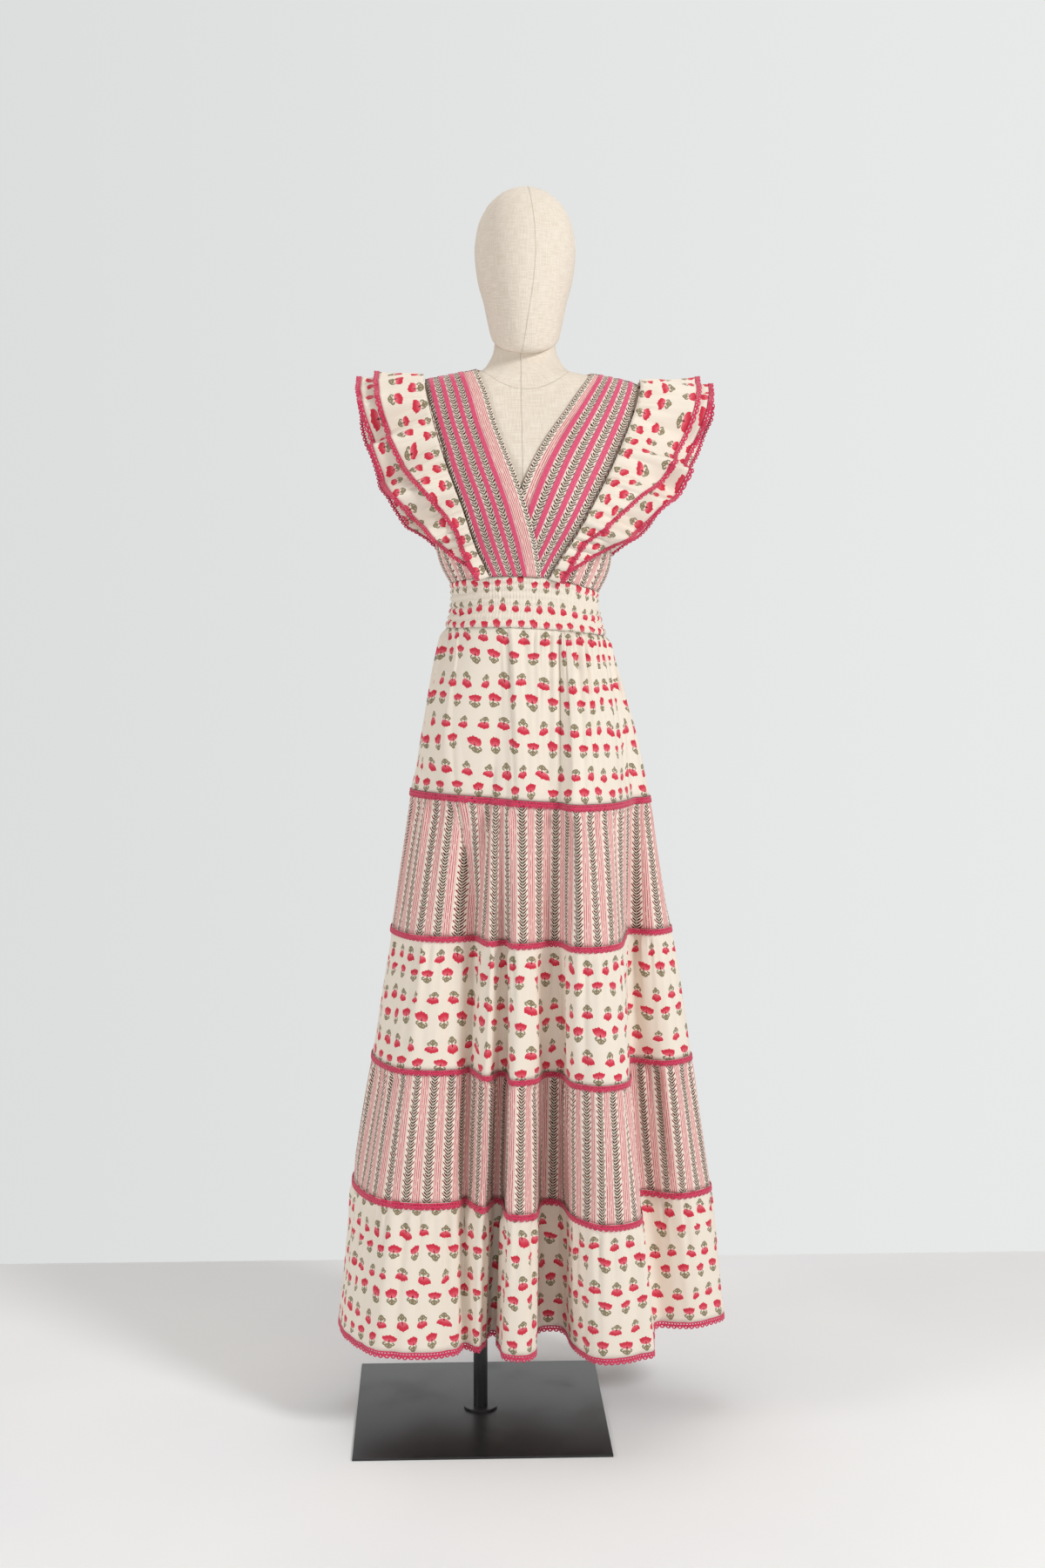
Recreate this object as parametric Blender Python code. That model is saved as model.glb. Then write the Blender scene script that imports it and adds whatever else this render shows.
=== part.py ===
"""Tiered maxi dress with ruffled shoulders, on a limbless dress form that stands on a steel plate.

Metres, +Z up. The origin is the centre of the plate's underside, on the axis of the pole. The front
faces -Y. The cloth pieces are worked out round the dress axis, which lies beside the pole.
"""
import math

import bmesh
import bpy
import numpy as np

# Stand: a square steel plate, a round pole and the collar round its foot
PLATE_SIDE = 0.350
PLATE_THICK = 0.003
PLATE_BEVEL = 0.0005
POLE_RADIUS = 0.010
COLLAR_RADIUS = 0.0235
COLLAR_THICK = 0.003
AXIS_X = 0.063  # the dress and the form stand this far beside the pole

# Cloth
GAP = 0.0003  # between neighbours
CLOTH = 0.0012  # thickness of the cotton
EASE = 0.0016  # between the form and the cloth that lies on it
BACK_EASE = 0.0034
FORM_INSET = 0.0014  # the form's flat faces stay this far inside its sections
TRIM = 0.0010  # thickness of lace and ribbon
LACE_WIDTH = 0.0102
LACE_GAP = 0.0006  # the lace lies this far off the curved cloth
SHARPEST = 0.6  # a wall grows no thicker than 1 / 0.6 of its cloth at a bend
OVERLAP_LIFT = 0.0032  # the upper front panel rises this far to pass over the lower one
OVERLAP_BLEND = 0.030
OVERLAP_ROOM = 0.004
BLOUSE = 0.009  # fullness of the side pieces just above the waistband
BLOUSE_HEIGHT = 0.075
BLOUSE_FROM = 0.2  # share of the way to the side seam where the fullness begins
BLOUSE_OVER = 0.6
BAND_EASE = 0.0026
BAND_CLOTH = 0.0014
BAND_RIB = 0.0013
BAND_RIBS = 7  # rows of elastic shirring in the waistband

# Numbers of points, and the bend from which an edge is drawn sharp
SHARP_ANGLE = math.radians(50)
STAND_SIDES = 24
FINE_STEPS = 90
FORM_COLUMNS = 28
HEAD_COLUMNS = 24
BAND_COLUMNS = 40
SKIRT_COLUMNS = 56
GATHERED_COLUMNS = 96
PANEL_ROWS = 12
BACK_CROWD = 2.0
SHOULDER_CROWD = 1.6  # the rows lie closer where the cloth bends over the shoulder
RUFFLE_POINTS = 49

# Form: height, half width, depth of the front and depth of the back
POWER = 2.3  # how square the sections are
FORM_SECTIONS = (
    (0.820, 0.124, 0.077, 0.089),
    (0.865, 0.132, 0.082, 0.097),
    (0.930, 0.136, 0.086, 0.101),
    (1.000, 0.127, 0.084, 0.094),
    (1.060, 0.111, 0.081, 0.083),
    (1.140, 0.096, 0.079, 0.074),
    (1.200, 0.106, 0.092, 0.078),
    (1.265, 0.130, 0.112, 0.090),
    (1.320, 0.146, 0.104, 0.098),
    (1.370, 0.160, 0.080, 0.094),
    (1.405, 0.168, 0.062, 0.080),
    (1.425, 0.165, 0.052, 0.066),
    (1.437, 0.145, 0.047, 0.056),
    (1.447, 0.100, 0.046, 0.050),
    (1.456, 0.060, 0.0465, 0.048),
    (1.468, 0.050, 0.045, 0.0465),
    (1.480, 0.0440, 0.043, 0.046),
    (1.495, 0.0420, 0.042, 0.045),
)
FORM_RING_STEP = 0.041
NECK_TILT = 0.40  # the neck's top and the jaw slope down to the front
NECK_TILT_FROM = 1.447
RIDGE = (1.405, 1.456)  # lowest and highest point of the shoulder line

# Head: height, half width, depth of the front, depth of the back and slope
HEAD_POWER = 2.0
HEAD_SECTIONS = (
    (1.4955, 0.0435, 0.060, 0.050, 0.40),
    (1.5020, 0.0465, 0.068, 0.056, 0.36),
    (1.5160, 0.0500, 0.075, 0.066, 0.28),
    (1.5460, 0.0565, 0.083, 0.080, 0.12),
    (1.5790, 0.0650, 0.088, 0.090, 0.0),
    (1.6150, 0.0685, 0.088, 0.094, 0.0),
    (1.6450, 0.0645, 0.082, 0.090, 0.0),
    (1.6710, 0.0530, 0.068, 0.076, 0.0),
    (1.6890, 0.0350, 0.046, 0.053, 0.0),
    (1.6970, 0.0190, 0.025, 0.029, 0.0),
    (1.7000, 0.0060, 0.008, 0.009, 0.0),
)

# Front panels: height, then the edge at the neckline and the edge at the ruffle, from the axis
LEFT_PANEL = (
    (1.172, 0.018, -0.045),
    (1.216, 0.012, -0.065),
    (1.260, 0.000, -0.080),
    (1.300, -0.013, -0.095),
    (1.340, -0.028, -0.109),
    (1.380, -0.042, -0.121),
    (1.420, -0.053, -0.131),
    (1.450, -0.0650, -0.137),
)
RIGHT_PANEL = (
    (1.172, -0.041, 0.025),
    (1.200, -0.034, 0.041),
    (1.240, -0.025, 0.065),
    (1.280, -0.013, 0.087),
    (1.320, 0.003, 0.107),
    (1.360, 0.026, 0.126),
    (1.400, 0.054, 0.142),
    (1.450, 0.090, 0.157),
)
# Back: height, then the two edges at the ruffles
BACK_PANEL = (
    (1.172, -0.048, 0.045),
    (1.216, -0.066, 0.066),
    (1.260, -0.082, 0.086),
    (1.340, -0.110, 0.119),
    (1.400, -0.128, 0.143),
    (1.450, -0.137, 0.157),
)
# Neckline at the back: half an oval in plan
NECK_CENTRE = 0.0125
NECK_HALF_WIDTH = 0.0775
NECK_BACK_DEPTH = 0.057
NECK_FLOOR = 1.40
OVERLAP_TOP = 1.345  # here the two front panels part
RIBBON_HALF = 0.05  # half the width of a ribbon, as a share of its panel
LEFT_RIBBONS = (0.90, 0.71, 0.51, 0.32)  # places across the panel, from the neckline
RIGHT_RIBBONS = (0.85, 0.64, 0.43, 0.23)
# Side pieces: the armhole falls from its top, at the ruffle, to the underarm
ARMHOLE_TOP = 1.405
ARMHOLE_CURVE = 1.5
UNDERARM = 1.312
SIDE_SEAM_ANGLE = 0.002  # each side piece ends this angle short of the side
SIDE_COLUMNS = 5
SIDE_ROWS = 8
NECK_COLUMNS = 9
SHOULDER = 1.446

# Waistband: its edges dip to the viewer's right
BAND_TOP = 1.177
BAND_BOTTOM = 1.107
BAND_TOP_SLOPE = -0.068
BAND_TOP_BOW = -1.5
BAND_BOTTOM_SLOPE = -0.055
BAND_BOTTOM_BOW = -0.6

# Ruffles: name, width of the layer on the left and right, depth of its root below the upper one,
# and how far up from the waist its width begins and stops to grow
RUFFLES = (
    ("upper", 0.062, 0.080, 0.0, 0.12, 0.70),
    ("lower", 0.086, 0.098, 0.0022, 0.00, 0.58),
)
RUFFLE_LIFT = 0.0064
RUFFLE_START = 0.010
RUFFLE_WAVES = 15
RUFFLE_WAVE = 0.14  # height of a wave, as a share of its distance from the seam
RUFFLE_PART = 0.10  # how fast the two layers part
RUFFLE_CALM = 0.45  # the waves lose this share of their height on the shoulder
RUFFLE_ROOT = 0.0016
RUFFLE_LEVEL = 0.70  # from this far up the ruffle turns from hanging to lying level
RUFFLE_DROP = 0.33
RUFFLE_RISE = 0.08
RUFFLE_BACKWARD = 0.15

# Skirt: the waist and the three heights where the folds are given
WAIST = 1.105
HIP = 0.860
KNEE = 0.505
HEM = 0.125
HIP_ROUND = 0.55
# A row for each line of cloth that stands out or falls in, from the left round the front: its
# place from the dress axis, x and y in millimetres, at the hip, the knee and the hem
FOLDS = (
    ("left side", -160, 15, -212, 8, -263, -10),
    ("left front", -128, -38, -176, -82, -218, -114),
    ("left front bulge", -92, -56, -130, -101, -150, -143),
    ("left front edge", -62, -44, -92, -93, -99, -128),
    ("crease", -55, -56, -80, -78, -86, -105),
    ("slim fold", -45, -84, -57, -134, -68, -120),
    ("pole hollow left", -34, -92, -39, -102, -51, -54),
    ("pole hollow right", -28, -94, -29, -107, -41, -64),
    ("middle fold left", -20, -100, -21, -157, -33, -147),
    ("middle fold right", 6, -107, 5, -147, 1, -152),
    ("front hollow left", 30, -106, 24, -104, 19, -44),
    ("front hollow right", 44, -107, 44, -108, 46, -42),
    ("right fold left", 58, -130, 60, -168, 65, -125),
    ("right fold crest", 80, -118, 94, -187, 99, -171),
    ("right fold edge", 112, -84, 127, -162, 161, -147),
    ("side wall", 138, -34, 139, -64, 175, -82),
    ("side hollow", 152, 4, 148, -12, 185, -34),
    ("right panel", 170, 14, 194, -34, 233, -36),
    ("right side", 182, 38, 233, 4, 284, 0),
    ("right back", 164, 72, 216, 66, 262, 74),
    ("right back hollow", 134, 82, 166, 82, 194, 88),
    ("right back fold", 100, 114, 126, 152, 152, 184),
    ("back hollow right", 60, 114, 74, 128, 86, 142),
    ("back fold", 8, 138, 6, 182, 2, 216),
    ("back hollow left", -50, 114, -60, 126, -80, 144),
    ("left back fold", -96, 112, -126, 148, -154, 180),
    ("left back hollow", -126, 82, -164, 90, -200, 104),
    ("left back", -152, 56, -204, 62, -252, 66),
)
# Tiers: number, height of the seam above, height of the seam below
TIERS = ((2, 0.860, 0.689), (3, 0.689, 0.508), (4, 0.508, 0.310), (5, 0.310, 0.1348))
PUFF = 0.0025  # the gathered cloth swells this far just under each seam
GATHERS = 32
GATHER_DEPTH = 0.0022
GATHERS_END = 0.930
TIER_1_HEIGHTS = (0.8603, 0.955, 1.040)
SKIRT_EASE = 0.0045
GUARD_SHRINK = 0.9  # the room kept under the form narrows by this much for each metre down
GUARD_LEAST = 0.3

# Colours: base colour, roughness and metallic value
FINISHES = {
    "black_steel": ((0.012, 0.012, 0.013), 0.38, 0.9),
    "linen": ((0.60, 0.52, 0.43), 0.85, 0.0),
    "floral_cotton": ((0.78, 0.66, 0.53), 0.80, 0.0),
    "striped_cotton": ((0.62, 0.40, 0.36), 0.80, 0.0),
    "pink_lace": ((0.58, 0.055, 0.16), 0.75, 0.0),
    "pink_ribbon": ((0.66, 0.10, 0.22), 0.60, 0.0),
}


def smooth(rows, column, at):
    """A column of a table at the heights asked for, smooth through its rows and never past them."""
    knots = np.array([row[0] for row in rows])
    values = np.array([row[column] for row in rows])
    steps = np.diff(knots)
    slopes = np.diff(values) / steps
    before, after = slopes[:-1], slopes[1:]
    same_way = before * after > 0
    total = np.where(same_way, before + after, 1.0)
    middle = np.where(same_way, 2 * before * after / total, 0.0)
    tangents = np.concatenate([slopes[:1], middle, slopes[-1:]])
    at = np.clip(np.asarray(at, dtype=float), knots[0], knots[-1])
    i = np.clip(np.searchsorted(knots, at, side="right") - 1, 0, len(steps) - 1)
    t = (at - knots[i]) / steps[i]
    rise = 3 * t**2 - 2 * t**3
    lead = (t**3 - 2 * t**2 + t) * steps[i] * tangents[i]
    trail = (t**3 - t**2) * steps[i] * tangents[i + 1]
    return values[i] + rise * (values[i + 1] - values[i]) + lead + trail


def ease_in(t):
    t = np.clip(t, 0.0, 1.0)
    return t * t * (3 - 2 * t)


def evenly(path, count, crowd=1.0):
    """A path of count points along a path of many, at even distances or crowded near its end."""
    lengths = np.concatenate([[0.0], np.cumsum(np.linalg.norm(np.diff(path, axis=0), axis=1))])
    at = lengths[-1] * (1 - (1 - np.linspace(0.0, 1.0, count)) ** crowd)
    return np.stack([np.interp(at, lengths, path[:, k]) for k in range(3)], axis=1)


def finish(name):
    material = bpy.data.materials.get(name)
    if material:
        return material
    colour, roughness, metallic = FINISHES[name]
    material = bpy.data.materials.new(name)
    material.use_nodes = True
    shader = material.node_tree.nodes["Principled BSDF"]
    shader.inputs["Base Color"].default_value = (*colour, 1.0)
    shader.inputs["Roughness"].default_value = roughness
    shader.inputs["Metallic"].default_value = metallic
    return material


def add_object(name, mesh, material, parent):
    mesh.materials.append(finish(material))
    mesh.shade_smooth()
    mesh.set_sharp_from_angle(angle=SHARP_ANGLE)
    piece = bpy.data.objects.new(name, mesh)
    piece.parent = parent
    bpy.context.scene.collection.objects.link(piece)
    return piece


def wall(name, inner, outer, material, parent, closed=False):
    """A wall between two grids of points, rows going up and columns to the left round the axis."""
    rows, columns = inner.shape[:2]
    points = np.concatenate([inner.reshape(-1, 3), outer.reshape(-1, 3)])

    def index(side, i, j):
        return side * rows * columns + i * columns + j % columns

    faces = []
    for j in range(columns if closed else columns - 1):
        for i in range(rows - 1):
            # each face is split the same way, so that one layer stays parallel to the next
            for corners in (
                ((i, j), (i, j + 1), (i + 1, j + 1)),
                ((i, j), (i + 1, j + 1), (i + 1, j)),
            ):
                faces.append([index(1, *corner) for corner in corners])
                faces.append([index(0, *corner) for corner in reversed(corners)])
        low, high = 0, rows - 1
        faces.append([index(0, low, j), index(0, low, j + 1), index(1, low, j + 1), index(1, low, j)])
        faces.append([index(1, high, j), index(1, high, j + 1), index(0, high, j + 1), index(0, high, j)])
    if not closed:
        last = columns - 1
        for i in range(rows - 1):
            faces.append([index(0, i, 0), index(1, i, 0), index(1, i + 1, 0), index(0, i + 1, 0)])
            corners = ((1, i), (0, i), (0, i + 1), (1, i + 1))
            faces.append([index(side, row, last) for side, row in corners])
    mesh = bpy.data.meshes.new(name)
    mesh.from_pydata(points.tolist(), [], faces)
    return add_object(name, mesh, material, parent)


def loft(name, rings, material, parent):
    """A solid through closed rings from the bottom up, with a cap on each end."""
    rows, columns = rings.shape[:2]
    faces = [list(reversed(range(columns))), list(range((rows - 1) * columns, rows * columns))]
    for i in range(rows - 1):
        for j in range(columns):
            k = (j + 1) % columns
            low, high = i * columns, (i + 1) * columns
            faces.append([low + j, low + k, high + k, high + j])
    mesh = bpy.data.meshes.new(name)
    mesh.from_pydata(rings.reshape(-1, 3).tolist(), [], faces)
    return add_object(name, mesh, material, parent)


def section_point(angle, half, front, back, power):
    """Plan point of a section at an angle from the front, turning towards +X."""
    s, c = np.sin(angle), np.cos(angle)
    depth = np.where(c > 0, front, back)
    x = half * np.sign(s) * np.abs(s) ** (2 / power)
    y = -depth * np.sign(c) * np.abs(c) ** (2 / power)
    return x, y


def form_sizes(z):
    return [smooth(FORM_SECTIONS, column, z) for column in (1, 2, 3)]


def form_point(angle, z):
    x, y = section_point(angle, *form_sizes(z), POWER)
    return np.stack(np.broadcast_arrays(x, y, z), axis=-1)


def form_level(points):
    """How far out a point is, as a share of the form's section at its height."""
    x, y, z = points[..., 0], points[..., 1], points[..., 2]
    half, front, back = form_sizes(z)
    depth = np.where(y < 0, front, back)
    return (np.abs(x / half) ** POWER + np.abs(y / depth) ** POWER) ** (1 / POWER)


def off_form(points, out):
    """Points of the form's surface moved out along its normal."""
    step = 0.0004
    slopes = [form_level(points + move) - form_level(points - move) for move in np.eye(3) * step]
    normal = np.stack(slopes, axis=-1)
    normal /= np.linalg.norm(normal, axis=-1, keepdims=True)
    return points + normal * np.asarray(out)[..., None]


def ridge(x):
    """Height of the form's shoulder line at x."""
    heights = np.linspace(*RIDGE, FINE_STEPS)
    return np.interp(-abs(x), -smooth(FORM_SECTIONS, 1, heights), heights)


def band_top(x):
    return BAND_TOP + BAND_TOP_SLOPE * x + BAND_TOP_BOW * x * x


def band_bottom(x):
    return BAND_BOTTOM + BAND_BOTTOM_SLOPE * x + BAND_BOTTOM_BOW * x * x


def climb(table, share, side, shift=0.0, columns=(1, 2)):
    """Line up the form's front or back, at a share of the way between a table's two edges."""

    def across(z):
        first, second = (smooth(table, column, z) for column in columns)
        return first + share * (second - first) + shift

    top = SHOULDER
    for _ in range(4):
        top = ridge(across(top))
    bottom = band_top(across(BAND_TOP)) + GAP
    z = bottom + (top - bottom) * (1 - (1 - np.linspace(0.0, 1.0, FINE_STEPS)) ** 3)
    x = across(z)
    half, front, back = form_sizes(z)
    depth = front if side < 0 else back
    inside = np.clip(1 - np.clip(np.abs(x) / half, 0, 1) ** POWER, 0, 1) ** (1 / POWER)
    y = side * np.maximum(depth * inside, GAP)
    return np.stack([x, y, z], axis=1)


def unit(vectors):
    return vectors / np.linalg.norm(vectors, axis=-1, keepdims=True)


def moved(grid, out, closed=False):
    """A grid moved outwards: level round a ring, with the same thickness at its bends."""
    if not closed:
        normal = np.cross(np.gradient(grid, axis=1), np.gradient(grid, axis=0))
        return grid + unit(normal) * out
    after = np.roll(grid, -1, axis=1) - grid
    sides = unit(np.stack([after[..., 1], -after[..., 0], 0 * after[..., 0]], axis=-1))
    bisector = unit(sides + np.roll(sides, 1, axis=1))
    spread = np.sum(bisector * sides, axis=-1, keepdims=True)
    return grid + bisector * out / np.maximum(spread, SHARPEST)


def build_stand():
    plate = bmesh.new()
    bmesh.ops.create_cube(plate, size=1.0)
    bmesh.ops.scale(plate, vec=(PLATE_SIDE, PLATE_SIDE, PLATE_THICK), verts=plate.verts)
    bmesh.ops.bevel(plate, geom=plate.edges[:], offset=PLATE_BEVEL, segments=1, affect="EDGES")
    mesh = bpy.data.meshes.new("base_plate")
    plate.to_mesh(mesh)
    plate.free()
    add_object("base_plate", mesh, "black_steel", None).location = (0, 0, PLATE_THICK / 2)

    foot = PLATE_THICK + GAP
    top = FORM_SECTIONS[0][0] - GAP
    pole = bmesh.new()
    size = {"radius1": POLE_RADIUS, "radius2": POLE_RADIUS, "depth": top - foot}
    bmesh.ops.create_cone(pole, cap_ends=True, segments=STAND_SIDES, **size)
    mesh = bpy.data.meshes.new("pole")
    pole.to_mesh(mesh)
    pole.free()
    add_object("pole", mesh, "black_steel", None).location = (0, 0, (top + foot) / 2)

    angle = np.linspace(0, 2 * np.pi, STAND_SIDES, endpoint=False)
    circle = np.stack([np.cos(angle), np.sin(angle), 0 * angle], axis=1)
    lift = np.array([[[0, 0, foot]], [[0, 0, foot + COLLAR_THICK]]])
    inner = circle * (POLE_RADIUS + GAP) + lift
    outer = circle * COLLAR_RADIUS + lift
    wall("pole_collar", inner, outer, "black_steel", None, closed=True)


def build_form(axis):
    heights = [FORM_SECTIONS[0][0]]
    for low, high in zip(FORM_SECTIONS, FORM_SECTIONS[1:]):
        parts = math.ceil((high[0] - low[0]) / FORM_RING_STEP)
        heights += list(np.linspace(low[0], high[0], parts + 1)[1:])
    angle = np.linspace(0, 2 * np.pi, FORM_COLUMNS, endpoint=False)
    rings = np.array([off_form(form_point(angle, z), np.full(FORM_COLUMNS, -FORM_INSET)) for z in heights])
    rings[0, :, 2] = heights[0]
    neck = (rings[..., 2] - NECK_TILT_FROM) / (FORM_SECTIONS[-1][0] - NECK_TILT_FROM)
    rings[..., 2] += NECK_TILT * ease_in(neck) * rings[..., 1]
    loft("form_torso", rings, "linen", axis)

    angle = np.linspace(0, 2 * np.pi, HEAD_COLUMNS, endpoint=False)
    rings = []
    for z, half, front, back, tilt in HEAD_SECTIONS:
        x, y = section_point(angle, half, front, back, HEAD_POWER)
        rings.append(np.stack([x, y, z + tilt * y], axis=1))
    loft("form_head", np.array(rings), "linen", axis)


def panel_shares(ribbons):
    """Places across a panel: its edges and both edges of each ribbon."""
    edges = [place + half for place in ribbons for half in (-RIBBON_HALF, RIBBON_HALF)]
    return sorted([0.0, 1.0] + edges)


def build_front_panels(axis):
    fronts = (("left", LEFT_PANEL, LEFT_RIBBONS), ("right", RIGHT_PANEL, RIGHT_RIBBONS))
    for side, table, ribbons in fronts:
        shares = panel_shares(ribbons)
        order = shares[::-1] if side == "left" else shares
        columns = [evenly(climb(table, share, -1), PANEL_ROWS, SHOULDER_CROWD) for share in order]
        skin = np.stack(columns, axis=1)
        out = np.full(skin.shape[:2], EASE)
        if side == "left":
            out += OVERLAP_LIFT * ease_in((OVERLAP_TOP - skin[..., 2]) / OVERLAP_BLEND)
        inner, outer = off_form(skin, out), off_form(skin, out + CLOTH)
        wall(f"front_panel_{side}", inner, outer, "striped_cotton", axis)
        for number, place in enumerate(ribbons, 1):
            low = order.index(place + (RIBBON_HALF if side == "left" else -RIBBON_HALF))
            start = 0
            if side == "right":
                start = int(np.argmax(skin[:, low, 0] > left_edge_at(skin[:, low, 2])))
            strip = skin[start:, low : low + 2]
            lift = out[start:, low : low + 2] + CLOTH + GAP
            name = f"ribbon_{side}_{number}"
            wall(name, off_form(strip, lift), off_form(strip, lift + TRIM), "pink_ribbon", axis)


def left_edge_at(z):
    """Neckline edge of the left panel, which lies over the right one, with room beside it."""
    return smooth(LEFT_PANEL, 1, z) + OVERLAP_ROOM


def edge_angle(table, column, side, z, shift):
    """Angle round the form at which a panel's edge lies."""
    x = smooth(table, column, z) + shift
    share = np.clip(np.abs(x) / smooth(FORM_SECTIONS, 1, z), 0, 1)
    angle = np.arcsin(share ** (POWER / 2))
    return angle if side < 0 else np.pi - angle


def build_sides(axis):
    """The pieces under the arms, between a panel's edge and the side seam, at the front and back."""
    for side, sign, front_table in (("left", -1, LEFT_PANEL), ("right", 1, RIGHT_PANEL)):
        back_column = 1 if sign < 0 else 2
        for face, facing, table, column in (
            ("front", -1, front_table, 2),
            ("back", 1, BACK_PANEL, back_column),
        ):
            columns = []
            for share in np.linspace(0, 1, SIDE_COLUMNS):
                top = UNDERARM + (ARMHOLE_TOP - UNDERARM) * (1 - share) ** ARMHOLE_CURVE
                z = np.linspace(BAND_TOP, top, SIDE_ROWS)
                seam = np.pi / 2 + facing * SIDE_SEAM_ANGLE
                first = edge_angle(table, column, facing, z, sign * 2 * GAP)
                skin = form_point(sign * (first + share * (seam - first)), z)
                low = band_top(skin[0, 0]) + GAP
                skin[:, 2] = low + (skin[:, 2] - BAND_TOP) * (top - low) / (top - BAND_TOP)
                skin[:, :2] /= form_level(skin)[:, None]
                full = BLOUSE * np.sin(np.pi * np.clip((skin[:, 2] - low) / BLOUSE_HEIGHT, 0, 1))
                full *= ease_in((share - BLOUSE_FROM) / BLOUSE_OVER)
                columns.append((off_form(skin, EASE + full), off_form(skin, EASE + full + CLOTH)))
            if (sign < 0) == (facing < 0):
                columns.reverse()
            inner = np.stack([pair[0] for pair in columns], axis=1)
            outer = np.stack([pair[1] for pair in columns], axis=1)
            wall(f"side_{face}_{side}", inner, outer, "striped_cotton", axis)


def build_back(axis):
    left, right = BACK_PANEL[-1][1:]
    arc = np.linspace(0, np.pi, NECK_COLUMNS)
    neck = (NECK_CENTRE - NECK_HALF_WIDTH * np.cos(arc) - left) / (right - left)
    shoulders = np.linspace(0, neck[0], 3)[:-1], np.linspace(neck[-1], 1, 3)[1:]
    columns = []
    for share in np.concatenate([shoulders[0], neck, shoulders[1]])[::-1]:
        path = climb(BACK_PANEL, share, 1)
        around = ((path[:, 0] - NECK_CENTRE) / NECK_HALF_WIDTH) ** 2
        around += (path[:, 1] / NECK_BACK_DEPTH) ** 2
        above = (path[:, 2] > NECK_FLOOR) & (around < 1)
        if above.any():
            path = path[: int(np.argmax(above))]
        columns.append(evenly(path, PANEL_ROWS, BACK_CROWD))
    skin = np.stack(columns, axis=1)
    inner, outer = off_form(skin, BACK_EASE), off_form(skin, BACK_EASE + CLOTH)
    wall("back_panel", inner, outer, "striped_cotton", axis)


def ruffle_seam(sign, front_table):
    """The line where a ruffle is sewn on, from the front waist over the shoulder to the back."""
    shift = sign * RUFFLE_ROOT
    column = 1 if sign < 0 else 2
    front = climb(front_table, 1, -1, shift)
    back = climb(BACK_PANEL, 1, 1, shift, columns=(3 - column, column))
    path = np.concatenate([front, back[::-1]])
    path = evenly(path, RUFFLE_POINTS)
    return off_form(path, np.full(RUFFLE_POINTS, RUFFLE_LIFT))


def build_ruffles(axis):
    s = np.linspace(0, 1, RUFFLE_POINTS)
    up = 1 - np.abs(2 * s - 1)  # 0 at the waist and 1 on the shoulder
    facing = np.sign(2 * s - 1)
    level = ease_in((up - RUFFLE_LEVEL) / (1 - RUFFLE_LEVEL))
    wave = RUFFLE_WAVE * (1 - RUFFLE_CALM * level) * np.sin(2 * np.pi * RUFFLE_WAVES * s)
    backward = -facing * RUFFLE_BACKWARD * np.sin(np.pi * up) * (1 - level)
    drop = -RUFFLE_DROP * (1 - level) + RUFFLE_RISE * level
    for side, sign, table in (("left", -1, LEFT_PANEL), ("right", 1, RIGHT_PANEL)):
        seam = ruffle_seam(sign, table)
        spread = np.stack([sign * np.ones_like(s), backward, drop], axis=1)
        spread /= np.linalg.norm(spread, axis=1, keepdims=True)
        face = np.cross(spread, np.gradient(seam, axis=0)) * sign
        face /= np.linalg.norm(face, axis=1, keepdims=True)
        for layer, left_width, right_width, depth, starts, grows in RUFFLES:
            width = left_width if sign < 0 else right_width
            growth = np.clip((up - starts) / grows, 0, 1)
            widths = np.maximum(width * np.sin(np.pi / 2 * growth), RUFFLE_START)
            part = RUFFLE_PART if depth else 0.0

            def line(reach):
                reach = reach[:, None]
                return seam - face * depth + spread * reach + face * (wave - part)[:, None] * reach

            cloth = np.stack([line(widths * share) for share in (0, 0.5, 1)], axis=1)
            lace = np.stack([line(widths + more) for more in (LACE_GAP, LACE_WIDTH)], axis=1)
            if sign < 0:
                cloth, lace = cloth[:, ::-1], lace[:, ::-1]
            name = f"ruffle_{layer}_{side}"
            wall(name, cloth, moved(cloth, CLOTH), "floral_cotton", axis)
            wall(f"{name}_lace", lace, moved(lace, TRIM), "pink_lace", axis)


def build_waistband(axis):
    """A ring whose outside has a rib for each row of shirring and whose inside is plain."""
    angle = np.linspace(0, 2 * np.pi, BAND_COLUMNS, endpoint=False)
    steps = 2 * BAND_RIBS
    outside, inside = [], []
    for i in range(steps + 1):
        x = form_point(angle, BAND_BOTTOM + (BAND_TOP - BAND_BOTTOM) * i / steps)[:, 0]
        low, high = band_bottom(x), band_top(x)
        skin = form_point(angle, low + (high - low) * i / steps)
        rib = BAND_RIB if i % 2 else 0.0
        outside.append(off_form(skin, BAND_EASE + BAND_CLOTH + rib))
        inside.append(off_form(skin, BAND_EASE))
    for ring in (outside[0], inside[0]):
        ring[:, 2] = band_bottom(ring[:, 0])
    rings = np.array([*outside, *inside[::-BAND_RIBS]])
    count = len(rings)
    faces = []
    for i in range(count):
        for j in range(BAND_COLUMNS):
            k = (j + 1) % BAND_COLUMNS
            low, high = i * BAND_COLUMNS, (i + 1) % count * BAND_COLUMNS
            faces.append([low + j, low + k, high + k])
            faces.append([low + j, high + k, high + j])
    mesh = bpy.data.meshes.new("waistband")
    mesh.from_pydata(rings.reshape(-1, 3).tolist(), [], faces)
    add_object("waistband", mesh, "floral_cotton", axis)


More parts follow.
